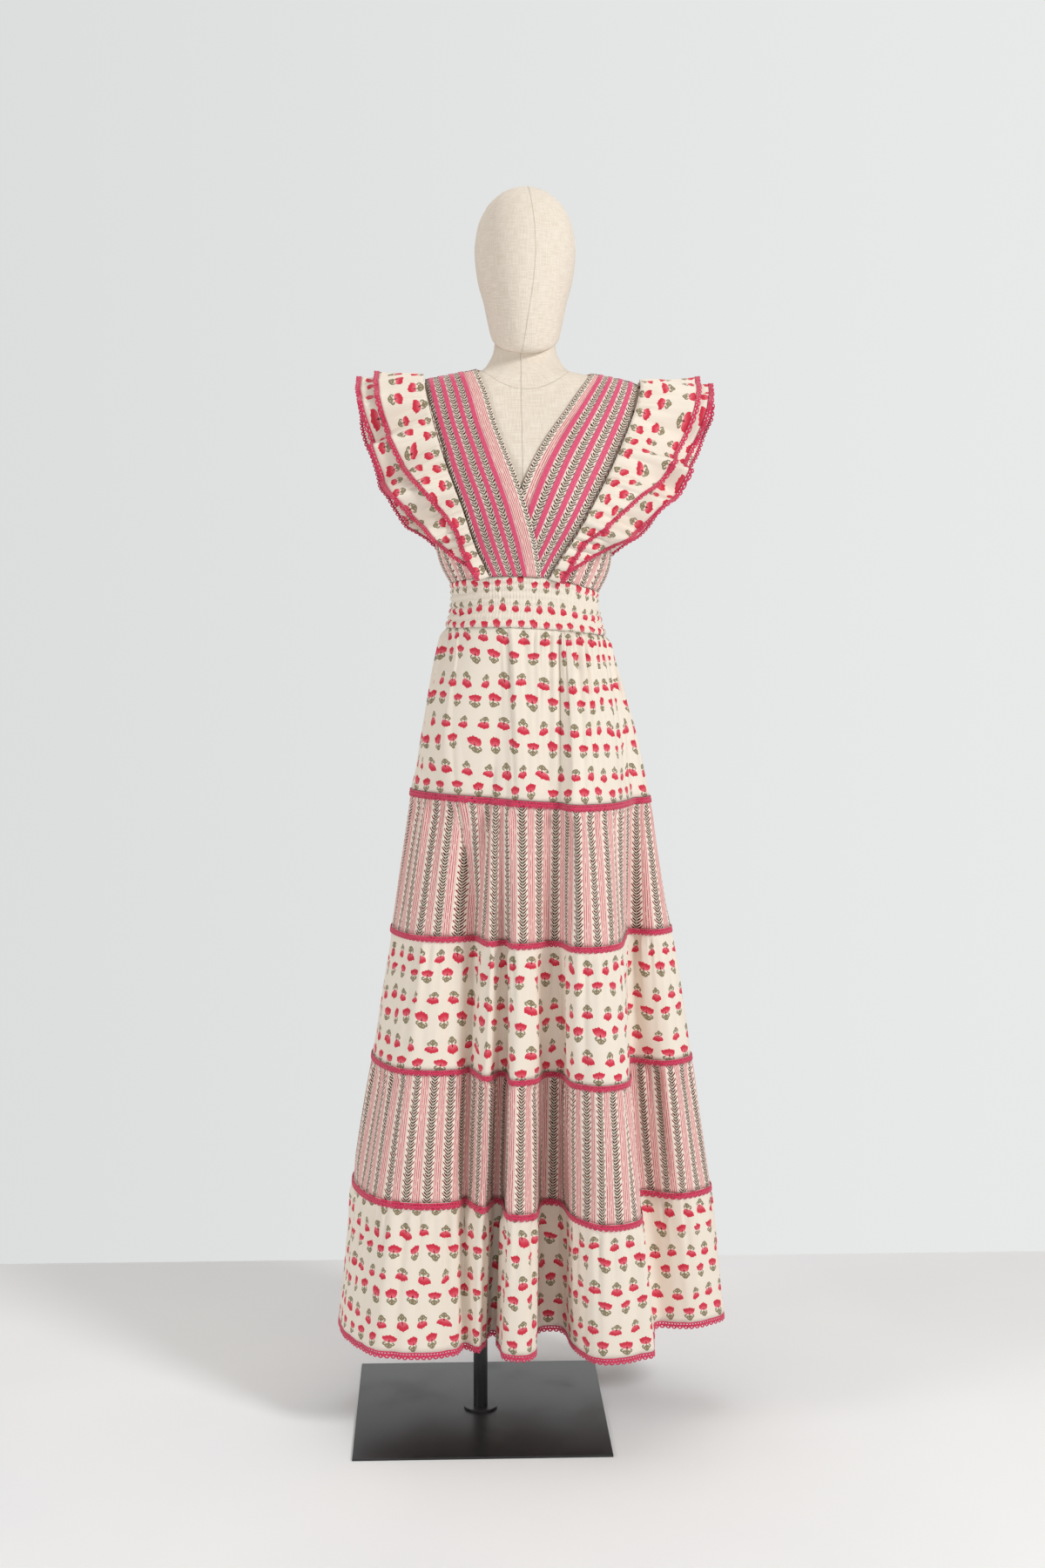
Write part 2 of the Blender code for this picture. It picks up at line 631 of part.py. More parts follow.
def closed_curve(points, count):
    """Smooth closed curve through plan points, whose speed follows the distance between them."""
    total = len(points)
    at = np.arange(count) * total / count
    i = np.floor(at).astype(int)
    t = at - i
    p0, p1, p2, p3 = (points[(i + k) % total] for k in (-1, 0, 1, 2))
    gaps = [np.sqrt(np.linalg.norm(b - a, axis=1))[:, None] for a, b in ((p0, p1), (p1, p2), (p2, p3))]
    t1 = gaps[0]
    t2 = t1 + gaps[1]
    t3 = t2 + gaps[2]
    u = t1 + t[:, None] * gaps[1]
    a1 = (p0 * (t1 - u) + p1 * u) / t1
    a2 = (p1 * (t2 - u) + p2 * (u - t1)) / (t2 - t1)
    a3 = (p2 * (t3 - u) + p3 * (u - t2)) / (t3 - t2)
    b1 = (a1 * (t2 - u) + a2 * u) / t2
    b2 = (a2 * (t3 - u) + a3 * (u - t1)) / (t3 - t1)
    return (b1 * (t2 - u) + b2 * (u - t1)) / (t2 - t1)


def skirt_ring(z, count):
    """Plan of the skirt at a height: the folds, straight from hip to hem, kept clear of the form."""
    table = np.array([row[1:] for row in FOLDS]) / 1000
    hip, knee, hem = table[:, 0:2], table[:, 2:4], table[:, 4:6]
    if z >= HIP:
        angle = np.arctan2(hip[:, 0], -hip[:, 1])
        waist = off_form(form_point(angle, WAIST), BAND_EASE)[:, :2]
        share = (max(WAIST - z, 0) / (WAIST - HIP)) ** HIP_ROUND
        lines = waist + share * (hip - waist)
    else:
        at_hip = (z - KNEE) * (z - HEM) / ((HIP - KNEE) * (HIP - HEM))
        at_knee = (z - HIP) * (z - HEM) / ((KNEE - HIP) * (KNEE - HEM))
        at_hem = (z - HIP) * (z - KNEE) / ((HEM - HIP) * (HEM - KNEE))
        lines = hip * at_hip + knee * at_knee + hem * at_hem
    ring = closed_curve(lines, count)
    return kept_clear(ring, z)


def kept_clear(ring, z):
    """Points that would lie in the form, or just under it, move out to its surface and the ease."""
    ease = SKIRT_EASE + (BAND_EASE - SKIRT_EASE) * ease_in((z - HIP) / (WAIST - HIP))
    half, front, back = (size + ease for size in form_sizes(z))
    shrink = max(1 - GUARD_SHRINK * max(FORM_SECTIONS[0][0] - z, 0), GUARD_LEAST)
    depth = np.where(ring[:, 1] < 0, front, back) * shrink
    level = np.abs(ring[:, 0] / (half * shrink)) ** POWER + np.abs(ring[:, 1] / depth) ** POWER
    level = level ** (1 / POWER)
    return ring / np.minimum(level, 1)[:, None]


def ring_at(z, count, out=0.0):
    ring = skirt_ring(z, count)
    grid = np.stack([ring[:, 0], ring[:, 1], np.full(count, z)], axis=1)
    along = np.roll(ring, -1, axis=0) - np.roll(ring, 1, axis=0)
    normal = np.stack([along[:, 1], -along[:, 0]], axis=1)
    normal /= np.linalg.norm(normal, axis=1, keepdims=True)
    grid[:, :2] += normal * np.asarray(out).reshape(-1, 1)
    return grid


def build_skirt(axis):
    count = GATHERED_COLUMNS
    wave = np.cos(2 * np.pi * GATHERS * np.arange(count) / count)
    rows = []
    for z in (*TIER_1_HEIGHTS, WAIST - GAP):
        deep = GATHER_DEPTH * ease_in((z - GATHERS_END) / (WAIST - GATHERS_END))
        rows.append(ring_at(z, count, deep * (1 + wave)))
    rows[-1][:, 2] = band_bottom(rows[-1][:, 0]) - GAP
    grid = np.stack(rows)
    wall("skirt_tier_1", grid, moved(grid, CLOTH, True), "floral_cotton", axis, closed=True)

    for number, above, below in TIERS:
        under_lace = ring_at(above - LACE_WIDTH, SKIRT_COLUMNS, PUFF)
        rows = [ring_at(below + GAP, SKIRT_COLUMNS), under_lace, ring_at(above, SKIRT_COLUMNS)]
        grid = np.stack(rows)
        material = "striped_cotton" if number % 2 == 0 else "floral_cotton"
        outer = moved(grid, CLOTH, True)
        wall(f"skirt_tier_{number}", grid, outer, material, axis, closed=True)

        low, high = (moved(outer[1:], out, True) for out in (LACE_GAP, LACE_GAP + TRIM))
        wall(f"seam_lace_{number - 1}", low, high, "pink_lace", axis, closed=True)

    hem = TIERS[-1][2]
    lace = np.stack([ring_at(hem - LACE_WIDTH, SKIRT_COLUMNS), ring_at(hem, SKIRT_COLUMNS)])
    wall("hem_lace", lace, moved(lace, TRIM, True), "pink_lace", axis, closed=True)


def main():
    for old in list(bpy.data.objects):
        bpy.data.objects.remove(old, do_unlink=True)
    axis = bpy.data.objects.new("dress_axis", None)
    axis.location = (AXIS_X, 0, 0)
    bpy.context.scene.collection.objects.link(axis)
    build_stand()
    build_form(axis)
    build_front_panels(axis)
    build_sides(axis)
    build_back(axis)
    build_waistband(axis)
    build_ruffles(axis)
    build_skirt(axis)


main()
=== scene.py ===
"""A tiered maxi dress with ruffled shoulders, on a limbless dress form that stands on a steel plate.

Metres, +Z up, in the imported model's frame, with the front facing -Y. The cloth is worked out round
the dress axis, which stands AXIS_X beside the pole. Prints are drawn in millimetres of cloth.
"""
import math

import bmesh
import bpy
import numpy as np
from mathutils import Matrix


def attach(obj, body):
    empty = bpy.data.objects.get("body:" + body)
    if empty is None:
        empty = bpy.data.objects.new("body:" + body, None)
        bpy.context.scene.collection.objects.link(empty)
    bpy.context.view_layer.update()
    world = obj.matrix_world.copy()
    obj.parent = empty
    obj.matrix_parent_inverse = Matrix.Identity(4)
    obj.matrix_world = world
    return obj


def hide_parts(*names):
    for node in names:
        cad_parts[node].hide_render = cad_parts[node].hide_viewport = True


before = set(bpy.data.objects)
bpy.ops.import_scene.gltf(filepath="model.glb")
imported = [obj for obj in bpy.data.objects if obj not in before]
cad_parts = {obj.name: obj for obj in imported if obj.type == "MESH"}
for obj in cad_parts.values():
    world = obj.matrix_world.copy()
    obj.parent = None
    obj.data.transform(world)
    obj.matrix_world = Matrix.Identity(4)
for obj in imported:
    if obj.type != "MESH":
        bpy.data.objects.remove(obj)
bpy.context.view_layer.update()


# The stand is a square steel plate with a steel tube screwed into it and a flat collar round the
# tube's foot. All are powder coated black, a little rough, and the plate shows faint dust.
PLATE_SIDE = 0.350
PLATE_THICK = 0.003
PLATE_BEVEL = 0.0007
POLE_RADIUS = 0.010
POLE_TOP = 0.8197
COLLAR_RADIUS = 0.0235
COLLAR_THICK = 0.003
ROUND_OFF = 0.0006
GAP = 0.0003
TURNED_SIDES = 72
SHARP = math.radians(40)


class Strand:
    """A socket in a material's nodes. Python's operators on it add the Math nodes."""

    def __init__(self, tree, socket=None):
        self.tree = tree
        self.socket = socket

    def node(self, kind, settings=None, values=None, output=0):
        """Add a node: its settings first, then the values or the links of its sockets."""
        node = self.tree.nodes.new(kind)
        for name, value in (settings or {}).items():
            setattr(node, name, value)
        for name, value in (values or {}).items():
            if isinstance(value, Strand):
                self.tree.links.new(value.socket, node.inputs[name])
            else:
                node.inputs[name].default_value = value
        return Strand(self.tree, node.outputs[output])

    def other(self, output):
        """Another output of the same node."""
        return Strand(self.tree, self.socket.node.outputs[output])

    def into(self, socket):
        self.tree.links.new(self.socket, socket)

    def math(self, operation, *others):
        return self.node("ShaderNodeMath", {"operation": operation}, dict(enumerate((self, *others))))

    def after(self, operation, first):
        return self.node("ShaderNodeMath", {"operation": operation}, {0: first, 1: self})

    def __add__(self, other):
        return self.math("ADD", other)

    def __sub__(self, other):
        return self.math("SUBTRACT", other)

    def __mul__(self, other):
        return self.math("MULTIPLY", other)

    def __truediv__(self, other):
        return self.math("DIVIDE", other)

    def __mod__(self, other):
        return self.math("FLOORED_MODULO", other)

    def __lt__(self, other):
        return self.math("LESS_THAN", other)

    def __gt__(self, other):
        return self.math("GREATER_THAN", other)

    def __abs__(self):
        return self.math("ABSOLUTE")

    __radd__ = __add__
    __rmul__ = __mul__

    def __rsub__(self, other):
        return self.after("SUBTRACT", other)

    def __rtruediv__(self, other):
        return self.after("DIVIDE", other)

    def fade(self, low, high):
        """0 below low, 1 above high, and smooth between them."""
        ends = {"Value": self, "From Min": low, "From Max": high, "To Min": 0.0, "To Max": 1.0}
        return self.node("ShaderNodeMapRange", {"interpolation_type": "SMOOTHSTEP"}, ends)

    def clouds(self, scale, detail, dimensions="3D"):
        """Cloudy noise from 0 to 1 at these places."""
        sockets = {"Vector": self, "Scale": scale, "Detail": detail}
        return self.node("ShaderNodeTexNoise", {"noise_dimensions": dimensions}, sockets)

    def noise(self, x, y, detail=2.0):
        """Cloudy noise from 0 to 1, where x and y are counted in its grains."""
        return self.node("ShaderNodeCombineXYZ", None, {0: x, 1: y}).clouds(1.0, detail, "2D")

    def over(self, under, paint):
        """A colour with paint over it where this mask is 1."""
        return self.node("ShaderNodeMix", {"data_type": "RGBA"}, {0: self, 6: under, 7: paint}, 2)

    def bump(self, strength, distance):
        """A normal from this height, which counts 1 as the distance."""
        sockets = {"Height": self, "Strength": strength, "Distance": distance}
        return self.node("ShaderNodeBump", None, sockets)


def ink(red, green, blue):
    """A colour given as the eye sees it, from 0 to 255."""
    return tuple(((part / 255 + 0.055) / 1.055) ** 2.4 for part in (red, green, blue)) + (1.0,)


def finish(name, **constants):
    """A new material with its shader's constant values, its shader and a strand to start from."""
    material = bpy.data.materials.new(name)
    material.use_nodes = True
    shader = material.node_tree.nodes["Principled BSDF"]
    for socket, value in constants.items():
        shader.inputs[socket.replace("_", " ")].default_value = value
    return material, shader.inputs, Strand(material.node_tree)


def put(name, mesh, material, slot, *nodes):
    """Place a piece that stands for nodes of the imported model."""
    mesh.materials.append(material)
    mesh.shade_smooth()
    piece = bpy.data.objects.new(name, mesh)
    bpy.context.scene.collection.objects.link(piece)
    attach(piece, "root")
    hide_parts(*nodes)
    return piece


def turned(profile, sides, closed):
    """A mesh turned from (radius, height) rows, upwards on its outside."""
    angle = np.linspace(0, 2 * np.pi, sides, endpoint=False)
    rings = [np.stack([r * np.cos(angle), r * np.sin(angle), 0 * angle + z], axis=1) for r, z in profile]
    count = len(rings)
    faces = []
    for i in range(count if closed else count - 1):
        for j in range(sides):
            low, high, k = i * sides, (i + 1) % count * sides, (j + 1) % sides
            faces.append([low + j, low + k, high + k, high + j])
    if not closed:
        faces.append(list(reversed(range(sides))))
        faces.append(list(range((count - 1) * sides, count * sides)))
    mesh = bpy.data.meshes.new("turned")
    mesh.from_pydata(np.concatenate(rings).tolist(), [], faces)
    return mesh


steel, sockets, start = finish("black_steel", Metallic=0.0, Roughness=0.42)
place = start.node("ShaderNodeTexCoord").other("Object")
grain = place.clouds(900.0, 2.0)
dust = place.clouds(9.0, 5.0).fade(0.45, 0.8)
dust.over(ink(34, 34, 35), ink(56, 55, 54)).into(sockets["Base Color"])
(0.27 + 0.16 * dust + 0.06 * grain).into(sockets["Roughness"])
grain.bump(0.25, 0.0003).into(sockets["Normal"])


def steel_piece(name, mesh, node):
    """Place a piece of the stand, smooth but for its sharp edges."""
    put(name, mesh, steel, "black_steel", node)
    mesh.set_sharp_from_angle(angle=SHARP)


plate = bmesh.new()
bmesh.ops.create_cube(plate, size=1.0)
bmesh.ops.scale(plate, vec=(PLATE_SIDE, PLATE_SIDE, PLATE_THICK), verts=plate.verts)
bmesh.ops.translate(plate, vec=(0, 0, PLATE_THICK / 2), verts=plate.verts)
bmesh.ops.bevel(plate, geom=plate.edges[:], offset=PLATE_BEVEL, segments=3, affect="EDGES", profile=0.5)
mesh = bpy.data.meshes.new("plate")
plate.to_mesh(mesh)
plate.free()
steel_piece("steel_plate", mesh, "base_plate")

foot = PLATE_THICK + GAP
tube = [(POLE_RADIUS, foot), (POLE_RADIUS, POLE_TOP - ROUND_OFF), (POLE_RADIUS - ROUND_OFF, POLE_TOP)]
steel_piece("steel_pole", turned(tube, TURNED_SIDES, False), "pole")

inside, top = POLE_RADIUS + GAP, foot + COLLAR_THICK
rim = [(inside, foot), (COLLAR_RADIUS, foot), (COLLAR_RADIUS, top - ROUND_OFF)]
rim += [(COLLAR_RADIUS - ROUND_OFF, top), (inside, top)]
steel_piece("steel_collar", turned(rim, TURNED_SIDES, True), "pole_collar")


# The dress form is a padded shell covered in natural linen. The cover is sewn from panels, with
# seams down the front and round the neck and jaw, and the head is a plain egg without a face.
AXIS_X = 0.063
FORM_INSET = 0.0011
FORM_POWER = 2.3
# height, half width, depth of the front, depth of the back
FORM_SECTIONS = (
    (0.820, 0.124, 0.077, 0.089),
    (0.865, 0.132, 0.082, 0.097),
    (0.930, 0.136, 0.086, 0.101),
    (1.000, 0.127, 0.084, 0.094),
    (1.060, 0.111, 0.081, 0.083),
    (1.140, 0.096, 0.079, 0.074),
    (1.200, 0.106, 0.092, 0.078),
    (1.265, 0.130, 0.112, 0.090),
    (1.320, 0.146, 0.104, 0.098),
    (1.370, 0.160, 0.080, 0.094),
    (1.405, 0.168, 0.062, 0.080),
    (1.425, 0.165, 0.052, 0.066),
    (1.437, 0.145, 0.047, 0.056),
    (1.447, 0.100, 0.046, 0.050),
    (1.456, 0.060, 0.0465, 0.048),
    (1.468, 0.050, 0.045, 0.0465),
    (1.480, 0.0440, 0.043, 0.046),
    (1.495, 0.0420, 0.042, 0.045),
)
NECK_TILT = 0.40
NECK_TILT_FROM = 1.447
# height, half width, depth of the front, depth of the back, slope down to the front
HEAD_SECTIONS = (
    (1.4955, 0.0415, 0.0565, 0.0475, 0.40),
    (1.4985, 0.0450, 0.0640, 0.0530, 0.38),
    (1.5020, 0.0465, 0.0680, 0.0560, 0.36),
    (1.5160, 0.0500, 0.0750, 0.0660, 0.28),
    (1.5460, 0.0565, 0.0830, 0.0800, 0.12),
    (1.5790, 0.0650, 0.0880, 0.0900, 0.0),
    (1.6150, 0.0685, 0.0880, 0.0940, 0.0),
    (1.6450, 0.0645, 0.0820, 0.0900, 0.0),
    (1.6710, 0.0530, 0.0680, 0.0760, 0.0),
    (1.6890, 0.0350, 0.0460, 0.0530, 0.0),
    (1.6970, 0.0190, 0.0250, 0.0290, 0.0),
    (1.7000, 0.0060, 0.0080, 0.0090, 0.0),
)
FRONT_SEAM = -0.0075  # the front seam of the torso, from the dress axis
NECK_SEAM = (1.4263, 7.5)  # lowest point of the neck seam in front and how it rises
NECK_SEAM_BACK = 1.458
# height on the head, and the place of its front seam from the dress axis
FACE_SEAM = ((1.47, -0.007), (1.51, -0.001), (1.56, 0.007), (1.60, 0.0105), (1.64, 0.009), (1.70, 0.002))
FORM_COLUMNS = 96
TORSO_ROWS = 120
HEAD_ROWS = 90
TORSO_ROUND = 900.0  # length of the cover round it, in millimetres
HEAD_ROUND = 430.0
NO_SEAM = 99.0  # far from a seam, in millimetres


def smooth(rows, column, at):
    """A column of a table at the heights asked for, smooth through its rows and never past them."""
    knots = np.array([row[0] for row in rows])
    values = np.array([row[column] for row in rows])
    steps = np.diff(knots)
    slopes = np.diff(values) / steps
    before, after = slopes[:-1], slopes[1:]
    same_way = before * after > 0
    total = np.where(same_way, before + after, 1.0)
    middle = np.where(same_way, 2 * before * after / total, 0.0)
    tangents = np.concatenate([slopes[:1], middle, slopes[-1:]])
    at = np.clip(np.asarray(at, dtype=float), knots[0], knots[-1])
    i = np.clip(np.searchsorted(knots, at, side="right") - 1, 0, len(steps) - 1)
    t = (at - knots[i]) / steps[i]
    lead = (t**3 - 2 * t**2 + t) * steps[i] * tangents[i]
    trail = (t**3 - t**2) * steps[i] * tangents[i + 1]
    return values[i] + (3 * t**2 - 2 * t**3) * (values[i + 1] - values[i]) + lead + trail


def ease_in(t):
    """0 up to 0, 1 from 1 on, and smooth between them."""
    t = np.clip(t, 0.0, 1.0)
    return t * t * (3 - 2 * t)


def section_point(angle, half, front, back, power):
    """Plan point of a section at an angle from the front, turning towards +X."""
    s, c = np.sin(angle), np.cos(angle)
    x = half * np.sign(s) * np.abs(s) ** (2 / power)
    y = -np.where(c > 0, front, back) * np.sign(c) * np.abs(c) ** (2 / power)
    return x, y


def form_sizes(z):
    return [smooth(FORM_SECTIONS, column, z) for column in (1, 2, 3)]


def form_point(angle, z):
    x, y = section_point(angle, *form_sizes(z), FORM_POWER)
    return np.stack(np.broadcast_arrays(x, y, z), axis=-1)


def form_level(points):
    """How far out a point is, as a share of the form's section at its height."""
    x, y, z = points[..., 0], points[..., 1], points[..., 2]
    half, front, back = form_sizes(z)
    depth = np.where(y < 0, front, back)
    return (np.abs(x / half) ** FORM_POWER + np.abs(y / depth) ** FORM_POWER) ** (1 / FORM_POWER)


def off_form(points, out):
    """Points of the form's surface moved out along its normal."""
    step = 0.0004
    slopes = [form_level(points + move) - form_level(points - move) for move in np.eye(3) * step]
    normal = np.stack(slopes, axis=-1)
    normal /= np.linalg.norm(normal, axis=-1, keepdims=True)
    return points + normal * np.asarray(out)[..., None]


def sheet_mesh(name, grid, along, up, closed=False):
    """A mesh through a grid of points, columns to the right in front, with its cloth's own places."""
    rows, columns = grid.shape[:2]
    i, j = np.meshgrid(np.arange(rows - 1), np.arange(columns if closed else columns - 1), indexing="ij")
    i, j = i.ravel(), j.ravel()
    k = (j + 1) % columns
    low, high = i * columns, (i + 1) * columns
    faces = np.stack([low + j, low + k, high + k, high + j], axis=1)
    mesh = bpy.data.meshes.new(name)
    mesh.from_pydata((grid.reshape(-1, 3) + (AXIS_X, 0, 0)).tolist(), [], faces.tolist())
    corners = [(i, j), (i, j + 1), (i + 1, j + 1), (i + 1, j)]
    places = np.stack([values[corner] for corner in corners for values in (along, up)], axis=1)
    mesh.uv_layers.new(name="cloth").data.foreach_set("uv", places.ravel())
    return mesh


def note(mesh, name, values):
    """Keep a value for each point of a mesh, for its material."""
    mesh.attributes.new(name, "FLOAT", "POINT").data.foreach_set("value", values.ravel())


def cap(mesh, columns):
    """Close a tube of rings at both ends."""
    solid = bmesh.new()
    solid.from_mesh(mesh)
    solid.verts.ensure_lookup_table()
    last = len(solid.verts) - columns
    solid.faces.new([solid.verts[k] for k in reversed(range(columns))])
    solid.faces.new([solid.verts[last + k] for k in range(columns)])
    solid.to_mesh(mesh)
    solid.free()


def cloth_places(start):
    """The cloth's own places in millimetres, to the right and up."""
    uv = start.node("ShaderNodeUVMap", {"uv_map": "cloth"})
    right = uv.node("ShaderNodeSeparateXYZ", None, {0: uv})
    return right, right.other(1)


def linen_piece(name, node, heights, grid, length_round, front_seam, level_seam):
    """Place a part of the form from its rings, with how far each point is from the cover's seams."""
    x, y, z = grid[..., 0], grid[..., 1], grid[..., 2]
    around = np.tile(np.linspace(0, length_round, FORM_COLUMNS + 1), (len(grid), 1))
    upward = np.tile(heights[:, None] * 1000, (1, FORM_COLUMNS + 1))
    mesh = sheet_mesh(node, grid, around, upward, closed=True)
    note(mesh, "upright_seam", 1000 * np.where(y < 0, x - front_seam, x))
    note(mesh, "level_seam", level_seam)
    cap(mesh, FORM_COLUMNS)
    put(name, mesh, linen, "linen", node)


linen, sockets, start = finish("linen", Roughness=0.9, Sheen_Weight=0.15, Specular_IOR_Level=0.25)
u, v = cloth_places(start)
slubs = start.noise(u * 0.06, v * 0.9) + start.noise(u * 0.9, v * 0.06)
threads = start.noise(u * 1.6, v * 1.6, 1.0)
upright = abs(start.node("ShaderNodeAttribute", {"attribute_name": "upright_seam"}, output=2))
level = abs(start.node("ShaderNodeAttribute", {"attribute_name": "level_seam"}, output=2))
groove = 1 - upright.math("MINIMUM", level).fade(0.2, 0.9)
tone = (slubs * 0.5).fade(0.36, 0.64).over(ink(230, 219, 204), ink(243, 235, 223))
tone = (threads.fade(0.35, 0.7) * 0.14).over(tone, ink(192, 176, 158))
(groove * 0.17).over(tone, ink(150, 130, 108)).into(sockets["Base Color"])
(slubs * 0.5 + threads * 0.6 - groove * 2.4).bump(0.7, 0.0004).into(sockets["Normal"])

angle = np.linspace(0, 2 * np.pi, FORM_COLUMNS, endpoint=False)
heights = np.linspace(FORM_SECTIONS[0][0], FORM_SECTIONS[-1][0], TORSO_ROWS)
grid = np.array([off_form(form_point(angle, z), -FORM_INSET) for z in heights])
grid[0, :, 2], grid[-1, :, 2] = heights[0], heights[-1]
neck = ease_in((grid[..., 2] - NECK_TILT_FROM) / (heights[-1] - NECK_TILT_FROM))
grid[..., 2] += NECK_TILT * neck * grid[..., 1]
x, y, z = grid[..., 0], grid[..., 1], grid[..., 2]
neck_seam = np.where(y < 0, NECK_SEAM[0] + NECK_SEAM[1] * x**2, NECK_SEAM_BACK)
level_seam = 1300 * (z - neck_seam)
linen_piece("linen_torso", "form_torso", heights, grid, TORSO_ROUND, FRONT_SEAM, level_seam)

# rows crowd towards the crown, where the head closes
chin, crown = HEAD_SECTIONS[0][0], HEAD_SECTIONS[-1][0]
heights = chin + (crown - chin) * np.sin(np.linspace(0, np.pi / 2, HEAD_ROWS))
half, front, back, tilt = (smooth(HEAD_SECTIONS, column, heights)[:, None] for column in (1, 2, 3, 4))
x, y = section_point(angle[None, :], half, front, back, 2.0)
grid = np.stack([x, y, heights[:, None] + tilt * y], axis=-1)
face_seam = np.interp(grid[..., 2], *zip(*FACE_SEAM))
level_seam = np.full(x.shape, NO_SEAM)
linen_piece("linen_head", "form_head", heights, grid, HEAD_ROUND, face_seam, level_seam)


# The prints. Both cottons are cream voile, block printed by hand: one with rows of single flowers over
# scrolled leaves, each row turned over from the last, the other with vines and fine rose pinstripes.
CREAM = ink(242, 233, 220)
ROSE_RED = ink(212, 54, 76)
ROSE_PINK = ink(238, 118, 134)
PISTIL = ink(96, 26, 34)
OLIVE = ink(160, 149, 118)
SHADE_OLIVE = ink(122, 112, 86)
DARK_OLIVE = ink(70, 46, 26)
BARK = ink(44, 22, 12)
STEM_GREEN = ink(96, 82, 50)
CRIMSON = ink(150, 38, 52)
PINSTRIPE = ink(194, 84, 94)
PINK_GROUND = ink(243, 209, 203)
FLOWER_ROW = 30.0
FLOWER_COLUMN = 31.0
FLOWER_SHRINK = 1.08
STRIPE_REPEAT = 27.0
STRIPE_PINS = (14.2, 11.4)  # where a stripe's pinstripes start, and their width
STRIPE_VINE = 6.9
LEAF_STEP = 4.1
PIN_STEP = 2.6
VOILE = 0.0005


def flowers(u, v):
    """Rows of flowers, every other row upside down and half a step along."""
    wobble = u.noise(u * 0.45, v * 0.45, 1.0) - 0.5
    drift = u.noise(u * 0.022, v * 0.016, 1.0) - 0.5
    u = u + drift * 13.0
    v = v - drift * 15.0
    row = (v / FLOWER_ROW).math("FLOOR")
    turned_over = 1 - 2 * (row % 2)
    x = ((u / FLOWER_COLUMN + row * 0.5).math("FRACT") - 0.5) * FLOWER_COLUMN + wobble * 0.8
    y = ((v / FLOWER_ROW).math("FRACT") - 0.5) * turned_over * FLOWER_ROW + wobble * 0.8
    x, y = x * FLOWER_SHRINK, y * FLOWER_SHRINK
    side = abs(x)
    rise = y - 4.6
    crown = 7.7 - side * 0.36 - abs((side * 0.70).math("SINE")) * 0.95
    bowl_x = side / 9.3
    bowl_y = (rise - 2.4) / 7.9
    head = (rise < crown) * (bowl_x * bowl_x + bowl_y * bowl_y < 1.0) * (rise > side * 0.09 - 4.9)
    pistil = (side < (rise + 0.2) * -0.26) * (rise > -4.6)
    fan = (side < ((y * -0.36).math("SINE")) * 2.2) * (y < -0.2) * (y > -8.7)
    curl_x = side - 4.7
    curl_y = y + 3.3
    curl = abs((curl_x * curl_x + curl_y * curl_y).math("SQRT") - 1.9) < 1.1
    curl = curl * (1 - (side < 4.2) * (y > -2.6))
    cup_x = side / 4.4
    cup_y = (y + 3.6) / 5.0
    cup = (abs((cup_x * cup_x + cup_y * cup_y).math("SQRT") - 1.0) < 0.25) * (y < -4.9)
    leaf = curl.math("MAXIMUM", cup).math("MAXIMUM", fan)
    worn = u.noise(u * 1.3, v * 1.3)
    red = (rise * -1 + worn * 5.0 - side * 0.3).fade(-1.0, 6.5).over(ROSE_RED, ROSE_PINK)
    green = worn.fade(0.35, 0.65).over(SHADE_OLIVE, OLIVE)
    colour = leaf.over(CREAM, green)
    colour = head.over(colour, red)
    return pistil.over(colour, PISTIL)


def vine(x, v, under, leaf_reach):
    """A vine up the cloth with pairs of narrow leaves, drawn over another colour."""
    sway = x.noise(x * 0.3, v * 0.16, 1.0) - 0.5
    x = x + sway * 0.9
    side = abs(x)
    climb_by = (v - side.math("POWER", 1.25) * 0.62 + sway * 1.6) / LEAF_STEP
    stroke = climb_by.math("FRACT")
    longer = (climb_by * 0.5).math("FRACT") > 0.5
    reach = leaf_reach * (0.66 + 0.34 * longer)
    leaf = (abs(stroke - 0.5) < 0.20 + leaf_reach * 0.021 - side * 0.012) * (side > 0.5) * (side < reach)
    stem = side < 0.3
    mottle = x.noise(x * 0.8, v * 0.5)
    dark = ((mottle * 0.6 + side * 0.045) > 0.47).over(BARK, CRIMSON)
    dark = (side < 1.7).over(dark, DARK_OLIVE)
    return stem.over(leaf.over(under, dark), STEM_GREEN)


def pinstripes(p, v, under, width):
    """Four thin rose lines on pale pink, drawn over another colour where p runs from 0 to width."""
    inside = (p > 0) * (p < width)
    wander = p.noise(p * 0.1, v * 0.03, 1.0) - 0.5
    line = (p / PIN_STEP + wander * 0.35).math("FRACT")
    broken = p.noise(p * 0.8, v * 0.12)
    line = (abs(line - 0.5) < 0.19) * broken.fade(0.25, 0.45)
    colour = inside.over(under, PINK_GROUND)
    return (inside * line).over(colour, PINSTRIPE)


def cotton(name, draw):
    """A voile whose print is drawn by a function of its own places."""
    material, sockets, start = finish(name, Roughness=0.86, Sheen_Weight=0.12, Specular_IOR_Level=0.2)
    u, v = cloth_places(start)
    draw(u, v).into(sockets["Base Color"])
    weave = start.noise(u * 0.25, v * 2.6) + start.noise(u * 2.6, v * 0.25)
    weave.bump(0.35, 0.0003).into(sockets["Normal"])
    return material


def draw_stripes(u, v):
    """Vines up the cloth with pinstripes between them."""
    p = (u / STRIPE_REPEAT).math("FRACT") * STRIPE_REPEAT
    colour = pinstripes(p - STRIPE_PINS[0], v, CREAM, STRIPE_PINS[1])
    return vine(p - STRIPE_VINE, v, colour, 7.0)


floral = cotton("floral_cotton", flowers)
striped = cotton("striped_cotton", draw_stripes)


def sew(name, mesh, material, slot, node, thick=VOILE):
    """Place a piece of cloth and give it its thickness, half to each side."""
    piece = put(name, mesh, material, slot, node)
    solid = piece.modifiers.new("thickness", "SOLIDIFY")
    solid.thickness = thick
    solid.offset = 0.0
    return piece


